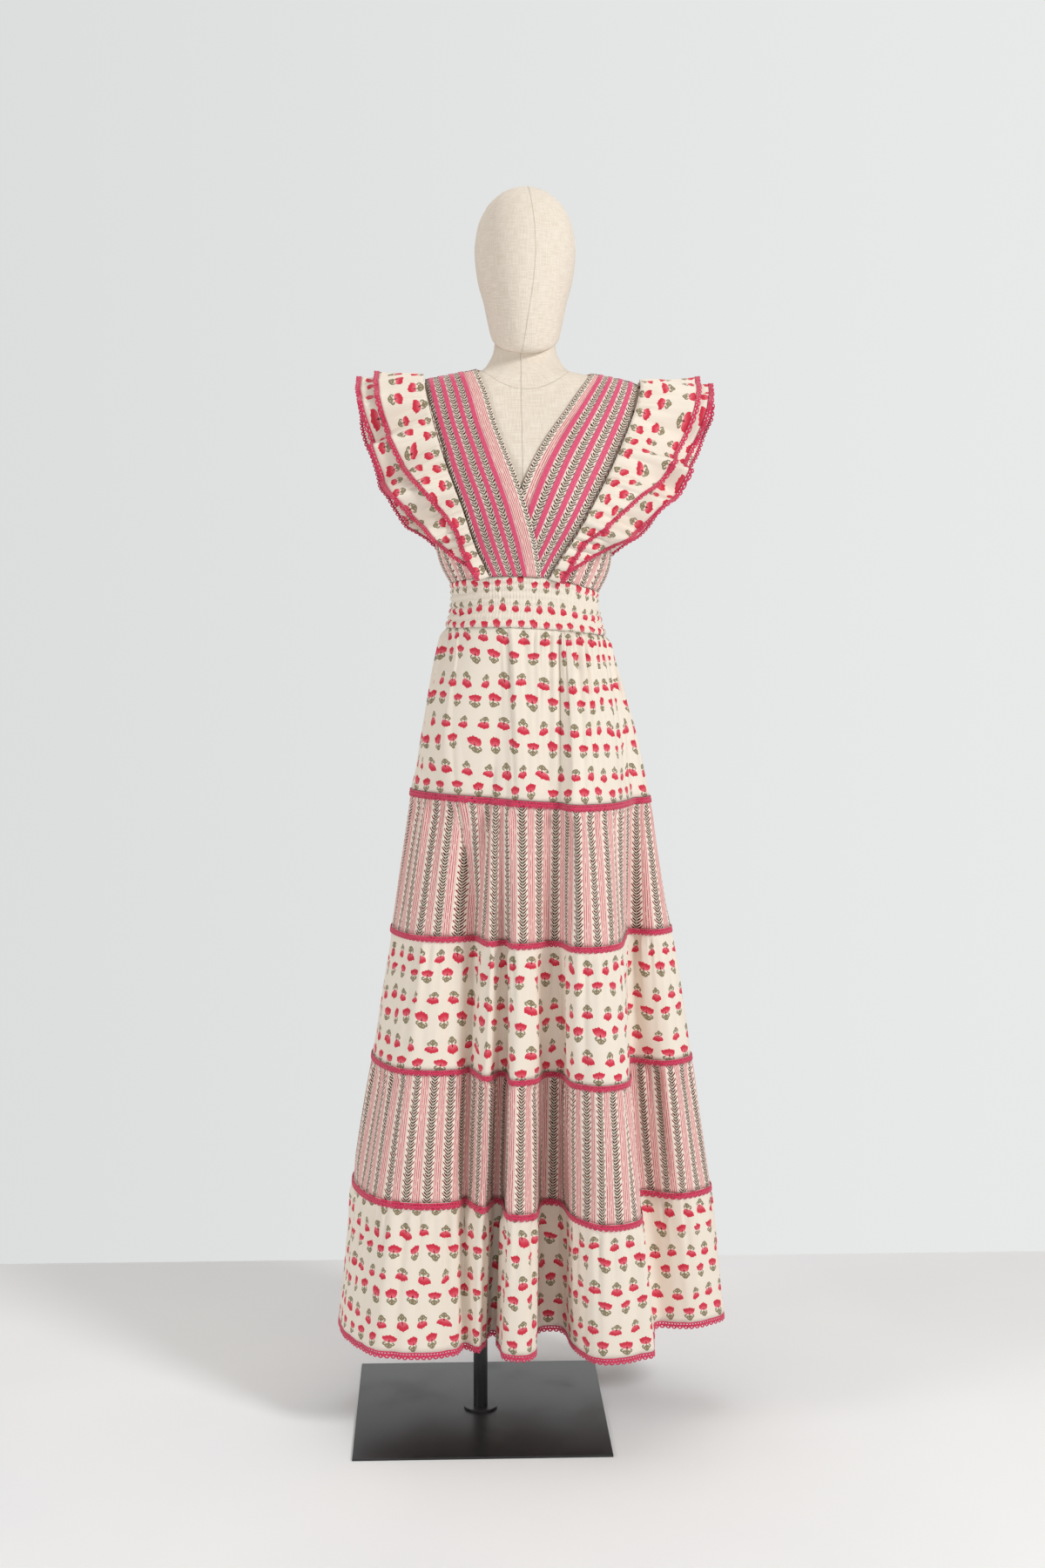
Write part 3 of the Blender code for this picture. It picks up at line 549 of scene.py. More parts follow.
# The bodice front: two shaped panels of striped cotton cross at the waist, the left one on top. Each
# panel's neckline edge is turned in, and its other edge runs under the ruffle.
CLOTH = 0.0012  # the wall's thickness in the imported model
EASE = 0.0016
BACK_EASE = 0.0034
OVERLAP_LIFT = 0.0032
OVERLAP_TOP = 1.345
OVERLAP_BLEND = 0.030
SHOULDER = 1.446
RIDGE = (1.405, 1.456)
FINE_STEPS = 200
BAND_TOP = 1.177
BAND_BOTTOM = 1.107
BAND_TOP_SLOPE = -0.068
BAND_TOP_BOW = -1.5
BAND_BOTTOM_SLOPE = -0.055
BAND_BOTTOM_BOW = -0.6
# height, then the edge at the neckline and the edge at the ruffle, from the axis
LEFT_PANEL = (
    (1.172, 0.018, -0.045),
    (1.216, 0.012, -0.065),
    (1.260, 0.000, -0.080),
    (1.300, -0.013, -0.095),
    (1.340, -0.028, -0.109),
    (1.380, -0.042, -0.121),
    (1.420, -0.053, -0.131),
    (1.450, -0.0650, -0.137),
)
RIGHT_PANEL = (
    (1.172, -0.041, 0.025),
    (1.200, -0.034, 0.041),
    (1.240, -0.025, 0.065),
    (1.280, -0.013, 0.087),
    (1.320, 0.003, 0.107),
    (1.360, 0.026, 0.126),
    (1.400, 0.054, 0.142),
    (1.450, 0.090, 0.157),
)
# height, then the two edges at the ruffles
BACK_PANEL = (
    (1.172, -0.048, 0.045),
    (1.216, -0.066, 0.066),
    (1.260, -0.082, 0.086),
    (1.340, -0.110, 0.119),
    (1.400, -0.128, 0.143),
    (1.450, -0.137, 0.157),
)
RIBBON_HALF = 0.035
PANEL_WIDTH = 86.0  # a panel's usual width in millimetres
PANEL_EDGE = 8.0  # where the pinstripes along its edge start, in millimetres
EDGE_VINE = (3.6, 4.0)  # place of the vine along its edge and the reach of its leaves
VINE_LEAVES = 5.1
PANEL_GATHERS = (0.012, 0.0010, 0.02, 21)  # spacing, depth, reach and seed
PANEL_COLUMNS = 56
PANEL_ROWS = 84
# side: its direction, its panel, and its ribbons as shares of the way across the panel
FRONT = {
    "left": (-1, LEFT_PANEL, (0.90, 0.71, 0.51, 0.32)),
    "right": (1, RIGHT_PANEL, (0.85, 0.64, 0.43, 0.23)),
}


def band_top(x):
    """Height of the waistband's upper edge."""
    return BAND_TOP + BAND_TOP_SLOPE * x + BAND_TOP_BOW * x * x


def band_bottom(x):
    """Height of the waistband's lower edge."""
    return BAND_BOTTOM + BAND_BOTTOM_SLOPE * x + BAND_BOTTOM_BOW * x * x


def ridge(x):
    """Height of the form's shoulder line at x."""
    heights = np.linspace(*RIDGE, FINE_STEPS)
    return np.interp(-abs(x), -smooth(FORM_SECTIONS, 1, heights), heights)


def travelled(points):
    """Distance of each point from the first along a path, or along each of many paths."""
    steps = np.linalg.norm(np.diff(points, axis=0), axis=-1)
    return np.concatenate([np.zeros((1,) + steps.shape[1:]), np.cumsum(steps, axis=0)])


def evenly(path, count):
    """A path of count points at even distances along a path of many."""
    lengths = travelled(path)
    at = np.linspace(0.0, lengths[-1], count)
    return np.stack([np.interp(at, lengths, path[:, k]) for k in range(3)], axis=1)


def climb(table, share, side, shift=0.0, columns=(1, 2)):
    """Line up the form's front or back, at a share of the way between a table's two edges."""

    def across(z):
        first, second = (smooth(table, column, z) for column in columns)
        return first + share * (second - first) + shift

    # the shoulder's height depends on where the line crosses it, so it is found step by step
    top = SHOULDER
    for _ in range(4):
        top = ridge(across(top))
    bottom = band_top(across(BAND_TOP)) + GAP
    z = bottom + (top - bottom) * (1 - (1 - np.linspace(0.0, 1.0, FINE_STEPS)) ** 3)
    x = across(z)
    half, front, back = form_sizes(z)
    depth = front if side < 0 else back
    inside = np.clip(1 - np.clip(np.abs(x) / half, 0, 1) ** FORM_POWER, 0, 1) ** (1 / FORM_POWER)
    return np.stack([x, side * np.maximum(depth * inside, GAP), z], axis=1)


def fading(drop, reach):
    """1 at a seam, dying away over a reach from it."""
    return np.exp(-((drop / reach) ** 1.3))


def gathers(along, drop, total, spacing, depth, reach, seed, roundness=0.6):
    """Height of the uneven folds that gathering leaves beside a seam, with creases between them."""
    draws = np.random.default_rng(seed)
    count = int(round(total / spacing))
    creases = np.concatenate([[0.0], np.cumsum(draws.uniform(0.5, 1.5, count))])
    creases *= total / creases[-1]
    depths = depth * draws.uniform(0.35, 1.0, count)
    reaches = reach * draws.uniform(0.4, 1.7, count)
    drop = np.maximum(drop, 0)
    place = (along + 0.03 * drop * np.sin(along * 23 + seed)) % total
    k = np.clip(np.searchsorted(creases, place, side="right") - 1, 0, count - 1)
    share = (place - creases[k]) / (creases[k + 1] - creases[k])
    fold = np.clip(np.sin(np.pi * share), 0, 1) ** roundness
    return depths[k] * fading(drop, reaches[k]) * fold


def draw_panel(ribbons):
    """The striped cotton cut so that a vine runs between each two ribbons."""
    step = (ribbons[0] - ribbons[-1]) / 3
    first = ribbons[-1]

    def draw(u, v):
        share = u / PANEL_WIDTH
        vine_place = ((share - first) / step).math("FRACT") - 0.5
        pins_width = (first - RIBBON_HALF) * PANEL_WIDTH - PANEL_EDGE - 0.5
        edge = pinstripes(share * PANEL_WIDTH - PANEL_EDGE, v, CREAM, pins_width)
        edge = vine(share * PANEL_WIDTH - EDGE_VINE[0], v, edge, EDGE_VINE[1])
        vines = vine(vine_place * (step * PANEL_WIDTH), v, CREAM, VINE_LEAVES)
        return (share > first).over(edge, vines)

    return draw


def panel_relief(shares, v):
    """Small swells of the cloth between the rows of stitching, and gathers just above the waistband."""
    width = PANEL_WIDTH / 1000
    low = gathers(shares * width, v, width, *PANEL_GATHERS)
    return low + 0.0004 * np.sin(v * 70 + shares * 9)


def front_lift(table, z):
    """How far a front panel stands off the form. The left one crosses over the right one."""
    over = OVERLAP_LIFT * ease_in((OVERLAP_TOP - z) / OVERLAP_BLEND)
    return EASE + CLOTH / 2 + (over if table is LEFT_PANEL else 0 * z)


for side, (sign, table, ribbons) in FRONT.items():
    order = np.linspace(0, 1, PANEL_COLUMNS)[::sign]
    skin = np.stack([evenly(climb(table, share, -1), PANEL_ROWS) for share in order], axis=1)
    v = travelled(skin)
    grid = off_form(skin, front_lift(table, skin[..., 2]) + panel_relief(order[None, :], v))
    u = np.tile(order * PANEL_WIDTH, (PANEL_ROWS, 1))
    node = f"front_panel_{side}"
    mesh = sheet_mesh(node, grid, u, v * 1000)
    panel_cotton = cotton(f"striped_panel_{side}", draw_panel(ribbons))
    sew(f"bodice_front_{side}", mesh, panel_cotton, "striped_cotton", node)


# Four pink picot ribbons run up each front panel, from the waistband to the shoulder seam. They are
# woven, with a tiny loop every few threads along both edges, and stitched down flat.
RIBBON_THICK = 0.0006
RIBBON_LIFT = 0.0009
PICOT_STEP = 0.0027
PICOT_DEPTH = 0.0005
PICOT_PLACES = np.array([-1.0, -0.86, 0.0, 0.86, 1.0])  # lines across it, in half widths
OVERLAP_ROOM = 0.004
DOT_STEP = 2.7

ribbon, sockets, start = finish("picot_ribbon", Roughness=0.62, Sheen_Weight=0.2)
u, v = cloth_places(start)
dot_y = ((v / DOT_STEP).math("FRACT") - 0.5) * DOT_STEP
dot = (dot_y * dot_y + u * u).math("SQRT") < 0.55
rib = ((v * 1.6).math("FRACT") - 0.5).math("ABSOLUTE")
tone = start.noise(u * 1.2, v * 0.2).fade(0.3, 0.7).over(ink(212, 62, 106), ink(224, 88, 128))
(dot * 0.7).over(tone, ink(196, 38, 78)).into(sockets["Base Color"])
(rib + dot * 2.0).bump(0.4, 0.0002).into(sockets["Normal"])


def left_edge_at(z):
    """Where a ribbon of the right panel may end, hidden under the left panel's neckline edge."""
    return smooth(LEFT_PANEL, 1, z) - OVERLAP_ROOM


def ribbon_mesh(name, table, place):
    """A strip up the form at a place across a panel, with loops along both edges."""
    length = travelled(climb(table, place, -1))[-1]
    count = 2 * int(length / PICOT_STEP)
    lines = [evenly(climb(table, place + RIBBON_HALF * a, -1), count) for a in PICOT_PLACES]
    skin = np.stack(lines, axis=1)
    outward = skin[:, -1] - skin[:, 0]
    outward /= np.linalg.norm(outward, axis=1, keepdims=True)
    loops = outward * (np.arange(count) % 2 * PICOT_DEPTH)[:, None]
    skin[:, 0] -= loops
    skin[:, -1] += loops
    if skin[0, 0, 0] > skin[0, -1, 0]:
        skin = skin[:, ::-1]
    start_row = 0
    if table is RIGHT_PANEL:
        start_row = int(np.argmax(skin[:, :, 0].max(axis=1) > left_edge_at(skin[:, 0, 2])))
    skin = skin[start_row:]
    lift = front_lift(table, skin[..., 2]) + VOILE / 2 + RIBBON_THICK / 2 + RIBBON_LIFT
    v = np.tile(np.linspace(0, 1000 * length, count)[start_row:, None], (1, len(PICOT_PLACES)))
    u = np.tile(PICOT_PLACES * RIBBON_HALF * PANEL_WIDTH, (len(skin), 1))
    return sheet_mesh(name, off_form(skin, lift), u, v)


ribbon_pieces = {"left": [], "right": []}
for side, (sign, table, ribbons) in FRONT.items():
    for number, share in enumerate(ribbons, 1):
        node = f"ribbon_{side}_{number}"
        mesh = ribbon_mesh(node, table, share)
        piece = sew(f"picot_{node}", mesh, ribbon, "pink_ribbon", node, RIBBON_THICK)
        ribbon_pieces[side].append(piece)


# Under each arm the bodice closes with a front and a back side piece in the same stripes. They are
# gathered into the waistband, so they blouse over it a little, and their top edges are the armholes.
ARMHOLE_TOP = 1.405
ARMHOLE_CURVE = 1.5
UNDERARM = 1.312
SIDE_SEAM_ANGLE = 0.002
BLOUSE = 0.009
BLOUSE_HEIGHT = 0.075
BLOUSE_FROM = 0.2
BLOUSE_OVER = 0.6
SIDE_WIDTH = 0.13
SIDE_PRINT = 150.0  # width of the cloth before it is gathered, in millimetres
# spacing, depth, reach and seed of the gathers above the waistband
SIDE_GATHERS = ((0.009, 0.0024, 0.035, 5), (0.026, 0.0020, 0.12, 6))
SIDE_SEAM_FADE = 8
SIDE_COLUMNS = 44
SIDE_ROWS = 56


def edge_angle(table, column, side, z, shift):
    """Angle round the form at which a panel's edge lies."""
    x = smooth(table, column, z) + shift
    share = np.clip(np.abs(x) / smooth(FORM_SECTIONS, 1, z), 0, 1)
    angle = np.arcsin(share ** (FORM_POWER / 2))
    return angle if side < 0 else np.pi - angle


for side, (sign, front_table, _) in FRONT.items():
    back_column = 1 if sign < 0 else 2
    faces = (("front", -1, front_table, 2), ("back", 1, BACK_PANEL, back_column))
    for face, facing, table, column in faces:
        lines = []
        for share in np.linspace(0, 1, SIDE_COLUMNS):
            top = UNDERARM + (ARMHOLE_TOP - UNDERARM) * (1 - share) ** ARMHOLE_CURVE
            z = np.linspace(BAND_TOP, top, SIDE_ROWS)
            seam_angle = np.pi / 2 + facing * SIDE_SEAM_ANGLE
            first = edge_angle(table, column, facing, z, sign * 2 * GAP)
            skin = form_point(sign * (first + share * (seam_angle - first)), z)
            low = band_top(skin[0, 0]) + GAP
            skin[:, 2] = low + (skin[:, 2] - BAND_TOP) * (top - low) / (top - BAND_TOP)
            skin[:, :2] /= form_level(skin)[:, None]
            full = BLOUSE * np.sin(np.pi * np.clip((skin[:, 2] - low) / BLOUSE_HEIGHT, 0, 1))
            full *= ease_in((share - BLOUSE_FROM) / BLOUSE_OVER)
            seam_fade = min(min(share, 1 - share) * SIDE_SEAM_FADE, 1.0)
            place = np.full(SIDE_ROWS, share * SIDE_WIDTH)
            for folds in SIDE_GATHERS:
                full += seam_fade * gathers(place, skin[:, 2] - low, SIDE_WIDTH, *folds)
            lines.append(off_form(skin, EASE + CLOTH / 2 + full))
        reach = np.linspace(0, SIDE_PRINT, SIDE_COLUMNS)
        if sign == facing:
            lines.reverse()
            reach = reach[::-1]
        grid = np.stack(lines, axis=1)
        u = np.tile(reach, (SIDE_ROWS, 1))
        node = f"side_{face}_{side}"
        mesh = sheet_mesh(node, grid, u, grid[..., 2] * 1000)
        piece = sew(f"bodice_{node}", mesh, striped, "striped_cotton", node)


# The back is one panel of the striped cotton with a round neckline. It hangs plainly from the
# shoulder seams and is drawn in a little at the waistband.
NECK_CENTRE = 0.0125
NECK_HALF_WIDTH = 0.0775
NECK_BACK_DEPTH = 0.057
NECK_FLOOR = 1.40
BACK_WIDTH = 0.26
BACK_ROWS = 70
NECK_COLUMNS = 49
SHOULDER_COLUMNS = 11
BACK_GATHERS = ((0.012, 0.0022, 0.035, 8), (0.04, 0.0016, 0.15, 9))

left, right = BACK_PANEL[-1][1:]
curve = NECK_CENTRE - NECK_HALF_WIDTH * np.cos(np.linspace(0, np.pi, NECK_COLUMNS))
neck = (curve - left) / (right - left)
first = np.linspace(0, neck[0], SHOULDER_COLUMNS)[:-1]
second = np.linspace(neck[-1], 1, SHOULDER_COLUMNS)[1:]
back_shares = np.concatenate([first, neck, second])[::-1]
lines = []
for share in back_shares:
    path = climb(BACK_PANEL, share, 1)
    around = ((path[:, 0] - NECK_CENTRE) / NECK_HALF_WIDTH) ** 2 + (path[:, 1] / NECK_BACK_DEPTH) ** 2
    above = (path[:, 2] > NECK_FLOOR) & (around < 1)
    if above.any():
        path = path[: int(np.argmax(above))]
    lines.append(evenly(path, BACK_ROWS))
skin = np.stack(lines, axis=1)
v = travelled(skin)
place = np.tile(back_shares[None, :] * BACK_WIDTH, (BACK_ROWS, 1))
full = sum(gathers(place, v, BACK_WIDTH, *folds) for folds in BACK_GATHERS)
grid = off_form(skin, BACK_EASE + CLOTH / 2 + full)
mesh = sheet_mesh("back_panel", grid, -place * 1000, v * 1000)
back = sew("bodice_back", mesh, striped, "striped_cotton", "back_panel")


# Ruffles: two layers of the floral cotton stand over each shoulder, from the front waist to the back
# waist. Each is gathered into the panel's seam and has a crocheted lace edge.
RUFFLE_LIFT = 0.0064
RUFFLE_START = 0.015
RUFFLE_WAVES = 10
RUFFLE_WAVE = 0.23
RUFFLE_CALM = 0.45
RUFFLE_PART = 0.10
RUFFLE_ROOT = 0.0016
RUFFLE_LEVEL = 0.70
RUFFLE_DROP = 0.33
RUFFLE_RISE = 0.08
RUFFLE_BACKWARD = 0.15
RUFFLE_SWAY = 0.0052
RUFFLE_PLEATS = (1 / 56, 0.0075, 1.0, 41)  # spacing, depth, reach and seed
PLEAT_FROM = 0.016
PLEAT_OVER = 0.036
RUFFLE_ROWS = 14
RUFFLE_COLUMNS = 460
RUFFLE_POINTS = 600
RUFFLE_PRINT = 960  # millimetres of print for each metre of its edge
PRINT_START = 6.0
LACE_UNDER = 0.0012  # how far the lace starts under a ruffle's edge, and how far it stands off it
LACE_OFF = 0.0006
RUFFLE_FULL = 1.5  # length of the cut for each metre of its edge
# name, width on the left and right, depth of the root, where up the front it starts and how it grows
RUFFLES = (
    ("upper", 0.062, 0.080, 0.0, 0.12, 0.70),
    ("lower", 0.086, 0.098, 0.0022, 0.00, 0.58),
)
LACE_THICK = 0.0008
LACE_PITCH = 0.0084
RUFFLE_LACE = 0.0072
# one repeat of the lace: eight columns of thread and seven lines from the heading to the scallop
LACE_COLUMNS = 8
LACE_LINES = np.array([0.0, 0.17, 0.33, 0.46, 0.62, 0.82, 1.0])
LACE_ROPES = np.array([0.0002, 0.0005, 0.0, 0.0004, 0.0, 0.0003, 0.0])
EYELETS = ((1, (1, 2)), (1, (5, 6)), (4, (3, 4)))  # line, and the columns that are left open

lace, sockets, start = finish("crochet_lace", Roughness=0.8, Sheen_Weight=0.3)
u, v = cloth_places(start)
yarn = ((u * 0.9 + v * 0.6).math("FRACT") - 0.5).math("ABSOLUTE")
tone = start.noise(u * 0.4, v * 0.6).fade(0.3, 0.7).over(ink(212, 34, 84), ink(232, 62, 108))
# painted shade: the lace is darker in the hollows between the yarn's twists, where its bump lies low
((0.5 - yarn) * 0.4).over(tone, ink(168, 20, 58)).into(sockets["Base Color"])
(yarn + start.noise(u * 2.0, v * 2.0)).bump(0.7, 0.0004).into(sockets["Normal"])


def lace_mesh(name, surface, length, width, closed):
    """Crochet along a line: surface gives points for places along it and drops across it, in metres."""
    repeats = max(int(round(length / LACE_PITCH)), 1)
    count = repeats * LACE_COLUMNS
    columns = count if closed else count + 1
    along = np.arange(columns) / count
    phase = (np.arange(columns) % LACE_COLUMNS) / LACE_COLUMNS
    scallop = np.sin(np.pi * phase) ** 0.7
    lines = LACE_LINES[:, None]
    keep = LACE_LINES[3]
    drop = np.where(lines > keep, keep + (lines - keep) * (0.36 + 0.64 * scallop[None, :]), lines)
    ropes = LACE_ROPES[:, None] + 0 * drop
    grid = surface(np.tile(along, (len(lines), 1)), drop * width, ropes)[::-1]
    u = np.tile(np.arange(count + 1) / count * length * 1000, (len(lines), 1))
    v = np.tile(-LACE_LINES[::-1, None] * width * 1000, (1, count + 1))
    mesh = sheet_mesh(name, grid, u, v, closed)
    last = len(LACE_LINES) - 2
    open_cells = {(last - line, column) for line, pair in EYELETS for column in pair}
    solid = bmesh.new()
    solid.from_mesh(mesh)
    solid.faces.ensure_lookup_table()
    cells = [(face.index // count, face.index % count % LACE_COLUMNS) for face in solid.faces]
    holes = [face for face, cell in zip(solid.faces, cells) if cell in open_cells]
    bmesh.ops.delete(solid, geom=holes, context="FACES_ONLY")
    solid.to_mesh(mesh)
    solid.free()
    return mesh


def ruffle_seam(sign, front_table, count):
    """The line where a ruffle is sewn on, from the front waist over the shoulder to the back."""
    shift = sign * RUFFLE_ROOT
    column = 1 if sign < 0 else 2
    front = climb(front_table, 1, -1, shift)
    back = climb(BACK_PANEL, 1, 1, shift, columns=(3 - column, column))
    path = evenly(np.concatenate([front, back[::-1]]), count)
    return off_form(path, RUFFLE_LIFT)


def uneven_line(draws, low, high, count, at):
    """Values at places from 0 to 1, read between evenly spaced random ones."""
    return np.interp(at, np.linspace(0, 1, count), draws.uniform(low, high, count))


def ruffle_surface(sign, front_table, layer):
    """Points of a ruffle for places along its seam and distances from it, and its width there."""
    name, left_width, right_width, depth, starts, grows = layer
    s = np.linspace(0, 1, RUFFLE_POINTS)
    up = 1 - np.abs(2 * s - 1)
    facing = np.sign(2 * s - 1)
    level = ease_in((up - RUFFLE_LEVEL) / (1 - RUFFLE_LEVEL))
    backward = -facing * RUFFLE_BACKWARD * np.sin(np.pi * up) * (1 - level)
    drop = -RUFFLE_DROP * (1 - level) + RUFFLE_RISE * level
    seam = ruffle_seam(sign, front_table, RUFFLE_POINTS)
    spread = np.stack([sign * np.ones_like(s), backward, drop], axis=1)
    spread /= np.linalg.norm(spread, axis=1, keepdims=True)
    face = np.cross(spread, np.gradient(seam, axis=0)) * sign
    face /= np.linalg.norm(face, axis=1, keepdims=True)
    width = left_width if sign < 0 else right_width
    growth = np.clip((up - starts) / grows, 0, 1)
    widths = np.maximum(width * np.sin(np.pi / 2 * growth), RUFFLE_START)
    draws = np.random.default_rng(31 if sign < 0 else 37)
    drift = uneven_line(draws, -0.16, 0.16, 19, s)
    uneven = uneven_line(draws, 0.55, 1.15, 31, s)
    turn = 2 * np.pi * (RUFFLE_WAVES * s + drift)
    calm = 1 - RUFFLE_CALM * level
    wave = RUFFLE_WAVE * calm * uneven * np.sin(turn)
    slow = uneven_line(draws, -0.09, 0.09, 15, s) * calm
    sway = RUFFLE_SWAY * calm * uneven * np.sin(turn + 0.9)
    part = RUFFLE_PART if depth else 0.0
    pleats = gathers(s, 0 * s, 1.0, *RUFFLE_PLEATS)

    def line(values, at):
        if values.ndim == 1:
            return np.interp(at, s, values)
        return np.stack([np.interp(at, s, values[:, k]) for k in range(3)], axis=-1)

    def surface(at, reach, lift=0.0):
        root = np.exp(-((np.clip(reach, 0, None) - PLEAT_FROM) / PLEAT_OVER) ** 2)
        out = line(wave - part, at) * reach + line(pleats, at) * root + lift - depth
        aside = line(sway, at) * (reach / width) ** 2
        away = reach * (1 + line(slow, at))
        rooted = line(seam, np.clip(at + aside, 0, 1))
        return rooted + line(spread, at) * away[..., None] + line(face, at) * out[..., None]

    return surface, lambda at: line(widths, at)


for side, (sign, table, _) in FRONT.items():
    for layer in RUFFLES:
        surface, width_at = ruffle_surface(sign, table, layer)
        at = np.linspace(0, 1, RUFFLE_COLUMNS)[:, None]
        across = np.linspace(0, 1, RUFFLE_ROWS)[None, :] * width_at(at)
        grid = surface(np.broadcast_to(at, across.shape), across)
        edge = travelled(grid[:, -1])[-1]
        seam_line = np.tile(at * edge * RUFFLE_PRINT, (1, RUFFLE_ROWS))
        reach = across * 1000 + PRINT_START
        if sign < 0:
            grid, seam_line, reach = grid[:, ::-1], seam_line[:, ::-1], reach[:, ::-1]
        name = f"ruffle_{layer[0]}_{side}"
        mesh = sheet_mesh(name, grid, seam_line, reach)
        piece = sew(f"shoulder_{name}", mesh, floral, "floral_cotton", name)

        def lace_surface(at, drop, lift):
            return surface(at, width_at(at) + drop - LACE_UNDER, LACE_OFF + lift)

        mesh = lace_mesh(f"{name}_lace", lace_surface, edge, RUFFLE_LACE, False)
        if sign < 0:
            mesh.flip_normals()
        edging = sew(f"shoulder_{name}_lace", mesh, lace, "pink_lace", f"{name}_lace", LACE_THICK)
        cut = (round(edge * RUFFLE_FULL, 2), max(layer[1:3]) + 0.01)
        cloth_area = round(edge * float(width_at(at).mean()), 3)
        max(cloth_area, 0.31 * cut[0] * cut[1])


# The waistband is a tube of the floral cotton smocked on eight rows of elastic, so the cloth puffs
# between the rows, stands in fine upright gathers, and its flowers are squeezed narrow.
BAND_EASE = 0.0012
BAND_PUFFS = 7
BAND_PUFF = 0.0019
BAND_GATHERS = 140
BAND_GATHER = 0.0007
BAND_FLARE = 0.0060  # how far its lower edge spreads over the hips
BAND_SQUEEZE = 2.0
BAND_PRINT = (13.5, 87.2)  # places of the print at the band's lower and upper edge
BAND_MIDDLE = 1.142
BAND_HEIGHT = 0.071
STEPS_PER_FOLD = 4

columns = BAND_GATHERS * STEPS_PER_FOLD
rows = BAND_PUFFS * STEPS_PER_FOLD + 1
turns = np.linspace(0, 2 * np.pi, 4001)
ring = form_point(turns, BAND_MIDDLE)
travel = travelled(ring)
band_length = travel[-1]
places = np.arange(columns) / columns
angle = np.interp(places * band_length, travel, turns)
levels = np.linspace(0, 1, rows)[:, None]
x = form_point(angle, BAND_MIDDLE)[:, 0]
low, high = band_bottom(x), band_top(x)
skin = form_point(np.tile(angle, (rows, 1)), low + (high - low) * levels)
puff = np.abs(np.sin(np.pi * BAND_PUFFS * levels)) ** 0.5
draws = np.random.default_rng(12)
drift = uneven_line(draws, -0.35, 0.35, 90, places)
rows_drift = uneven_line(draws, -0.25, 0.25, 15, levels)
folds = 0.5 + 0.5 * np.cos(2 * np.pi * (BAND_GATHERS * places + drift + rows_drift))
out = BAND_EASE + VOILE / 2 + BAND_PUFF * puff + BAND_GATHER * 2 * folds * (0.45 + 0.55 * puff)
out += BAND_FLARE * (1 - levels) ** 1.3
grid = off_form(skin, out)
grid[0, :, 2] = low
u = np.tile(np.arange(columns + 1) / columns * band_length * 1000 * BAND_SQUEEZE, (rows, 1))
v = np.tile(BAND_PRINT[0] + levels * (BAND_PRINT[1] - BAND_PRINT[0]), (1, columns + 1))
mesh = sheet_mesh("waistband", grid, u, v, closed=True)
band = sew("smocked_waistband", mesh, floral, "floral_cotton", "waistband")
band_area = round(band_length * BAND_HEIGHT, 3) + 0.008
round(band_length * BAND_SQUEEZE, 2)


# The skirt is five tiers of cotton, floral and striped in turn, each gathered into the one above. They
# hang from the waistband in long folds that spread from the hips to the hem.
WAIST = 1.105
HIP = 0.860
KNEE = 0.505
HEM = 0.125
HIP_ROUND = 0.55
SKIRT_EASE = 0.0025
WAIST_EASE = 0.0012
SPREAD_BELOW = 0.050  # how far down the waistband's spread goes on
GUARD_SHRINK = 0.9
GUARD_LEAST = 0.3
# a row for each line of cloth that stands out or falls in, from the left round the front: its place
# from the dress axis, x and y in millimetres, at the hip, the knee and the hem
FOLDS = (
    ("left side", -155, 15, -212, 8, -263, -10),
    ("left front", -125, -38, -176, -82, -218, -114),
    ("left front bulge", -92, -56, -130, -101, -150, -143),
    ("left front edge", -62, -44, -92, -93, -99, -128),
    ("crease", -55, -56, -80, -78, -86, -105),
    ("slim fold", -45, -84, -57, -134, -68, -120),
    ("pole hollow left", -34, -92, -39, -102, -51, -54),
    ("pole hollow right", -28, -94, -29, -107, -41, -64),
    ("middle fold left", -20, -100, -21, -157, -33, -147),
    ("middle fold right", 6, -107, 5, -147, 1, -152),
    ("front hollow left", 30, -106, 24, -104, 19, -44),
    ("front hollow right", 44, -107, 44, -108, 46, -42),
    ("right fold left", 58, -130, 60, -168, 65, -125),
    ("right fold crest", 80, -118, 94, -187, 99, -171),
    ("right fold edge", 112, -84, 127, -162, 161, -147),
    ("side wall", 138, -34, 139, -64, 175, -82),
    ("side hollow", 152, 4, 148, -12, 185, -34),
    ("right panel", 166, 14, 194, -34, 233, -36),
    ("right side", 176, 38, 233, 4, 284, 0),
    ("right back", 164, 72, 216, 66, 262, 74),
    ("right back hollow", 134, 82, 166, 82, 194, 88),
    ("right back fold", 100, 114, 126, 152, 152, 184),
    ("back hollow right", 60, 114, 74, 128, 86, 142),
    ("back fold", 8, 138, 6, 182, 2, 216),
    ("back hollow left", -50, 114, -60, 126, -80, 144),
    ("left back fold", -96, 112, -126, 148, -154, 180),
    ("left back hollow", -126, 82, -164, 90, -200, 104),
    ("left back", -152, 56, -204, 62, -252, 66),
)
# number, height of its upper and lower edge, spacing of its gathers, their depth and reach, and the
# height of the print's first row above the lower edge
TIERS = (
    (1, WAIST - GAP, 0.8603, 0.0240, 0.0110, 0.190, 6.0),
    (2, 0.860, 0.689, 0.0200, 0.0060, 0.070, 0.0),
    (3, 0.689, 0.508, 0.0210, 0.0075, 0.080, 10.0),
    (4, 0.508, 0.310, 0.0210, 0.0065, 0.075, 0.0),
    (5, 0.310, 0.1348, 0.0220, 0.0080, 0.090, 3.0),
)
# how much higher the seams lie than the tiers' own heights: height, rise at the left and at the right
SEAM_RISE = (
    (0.1348, 0.000, 0.000),
    (0.310, 0.026, 0.012),
    (0.508, 0.004, 0.000),
    (0.689, 0.002, 0.000),
    (0.8603, 0.023, 0.011),
    (1.000, 0.008, 0.004),
    (WAIST, 0.000, 0.000),
)
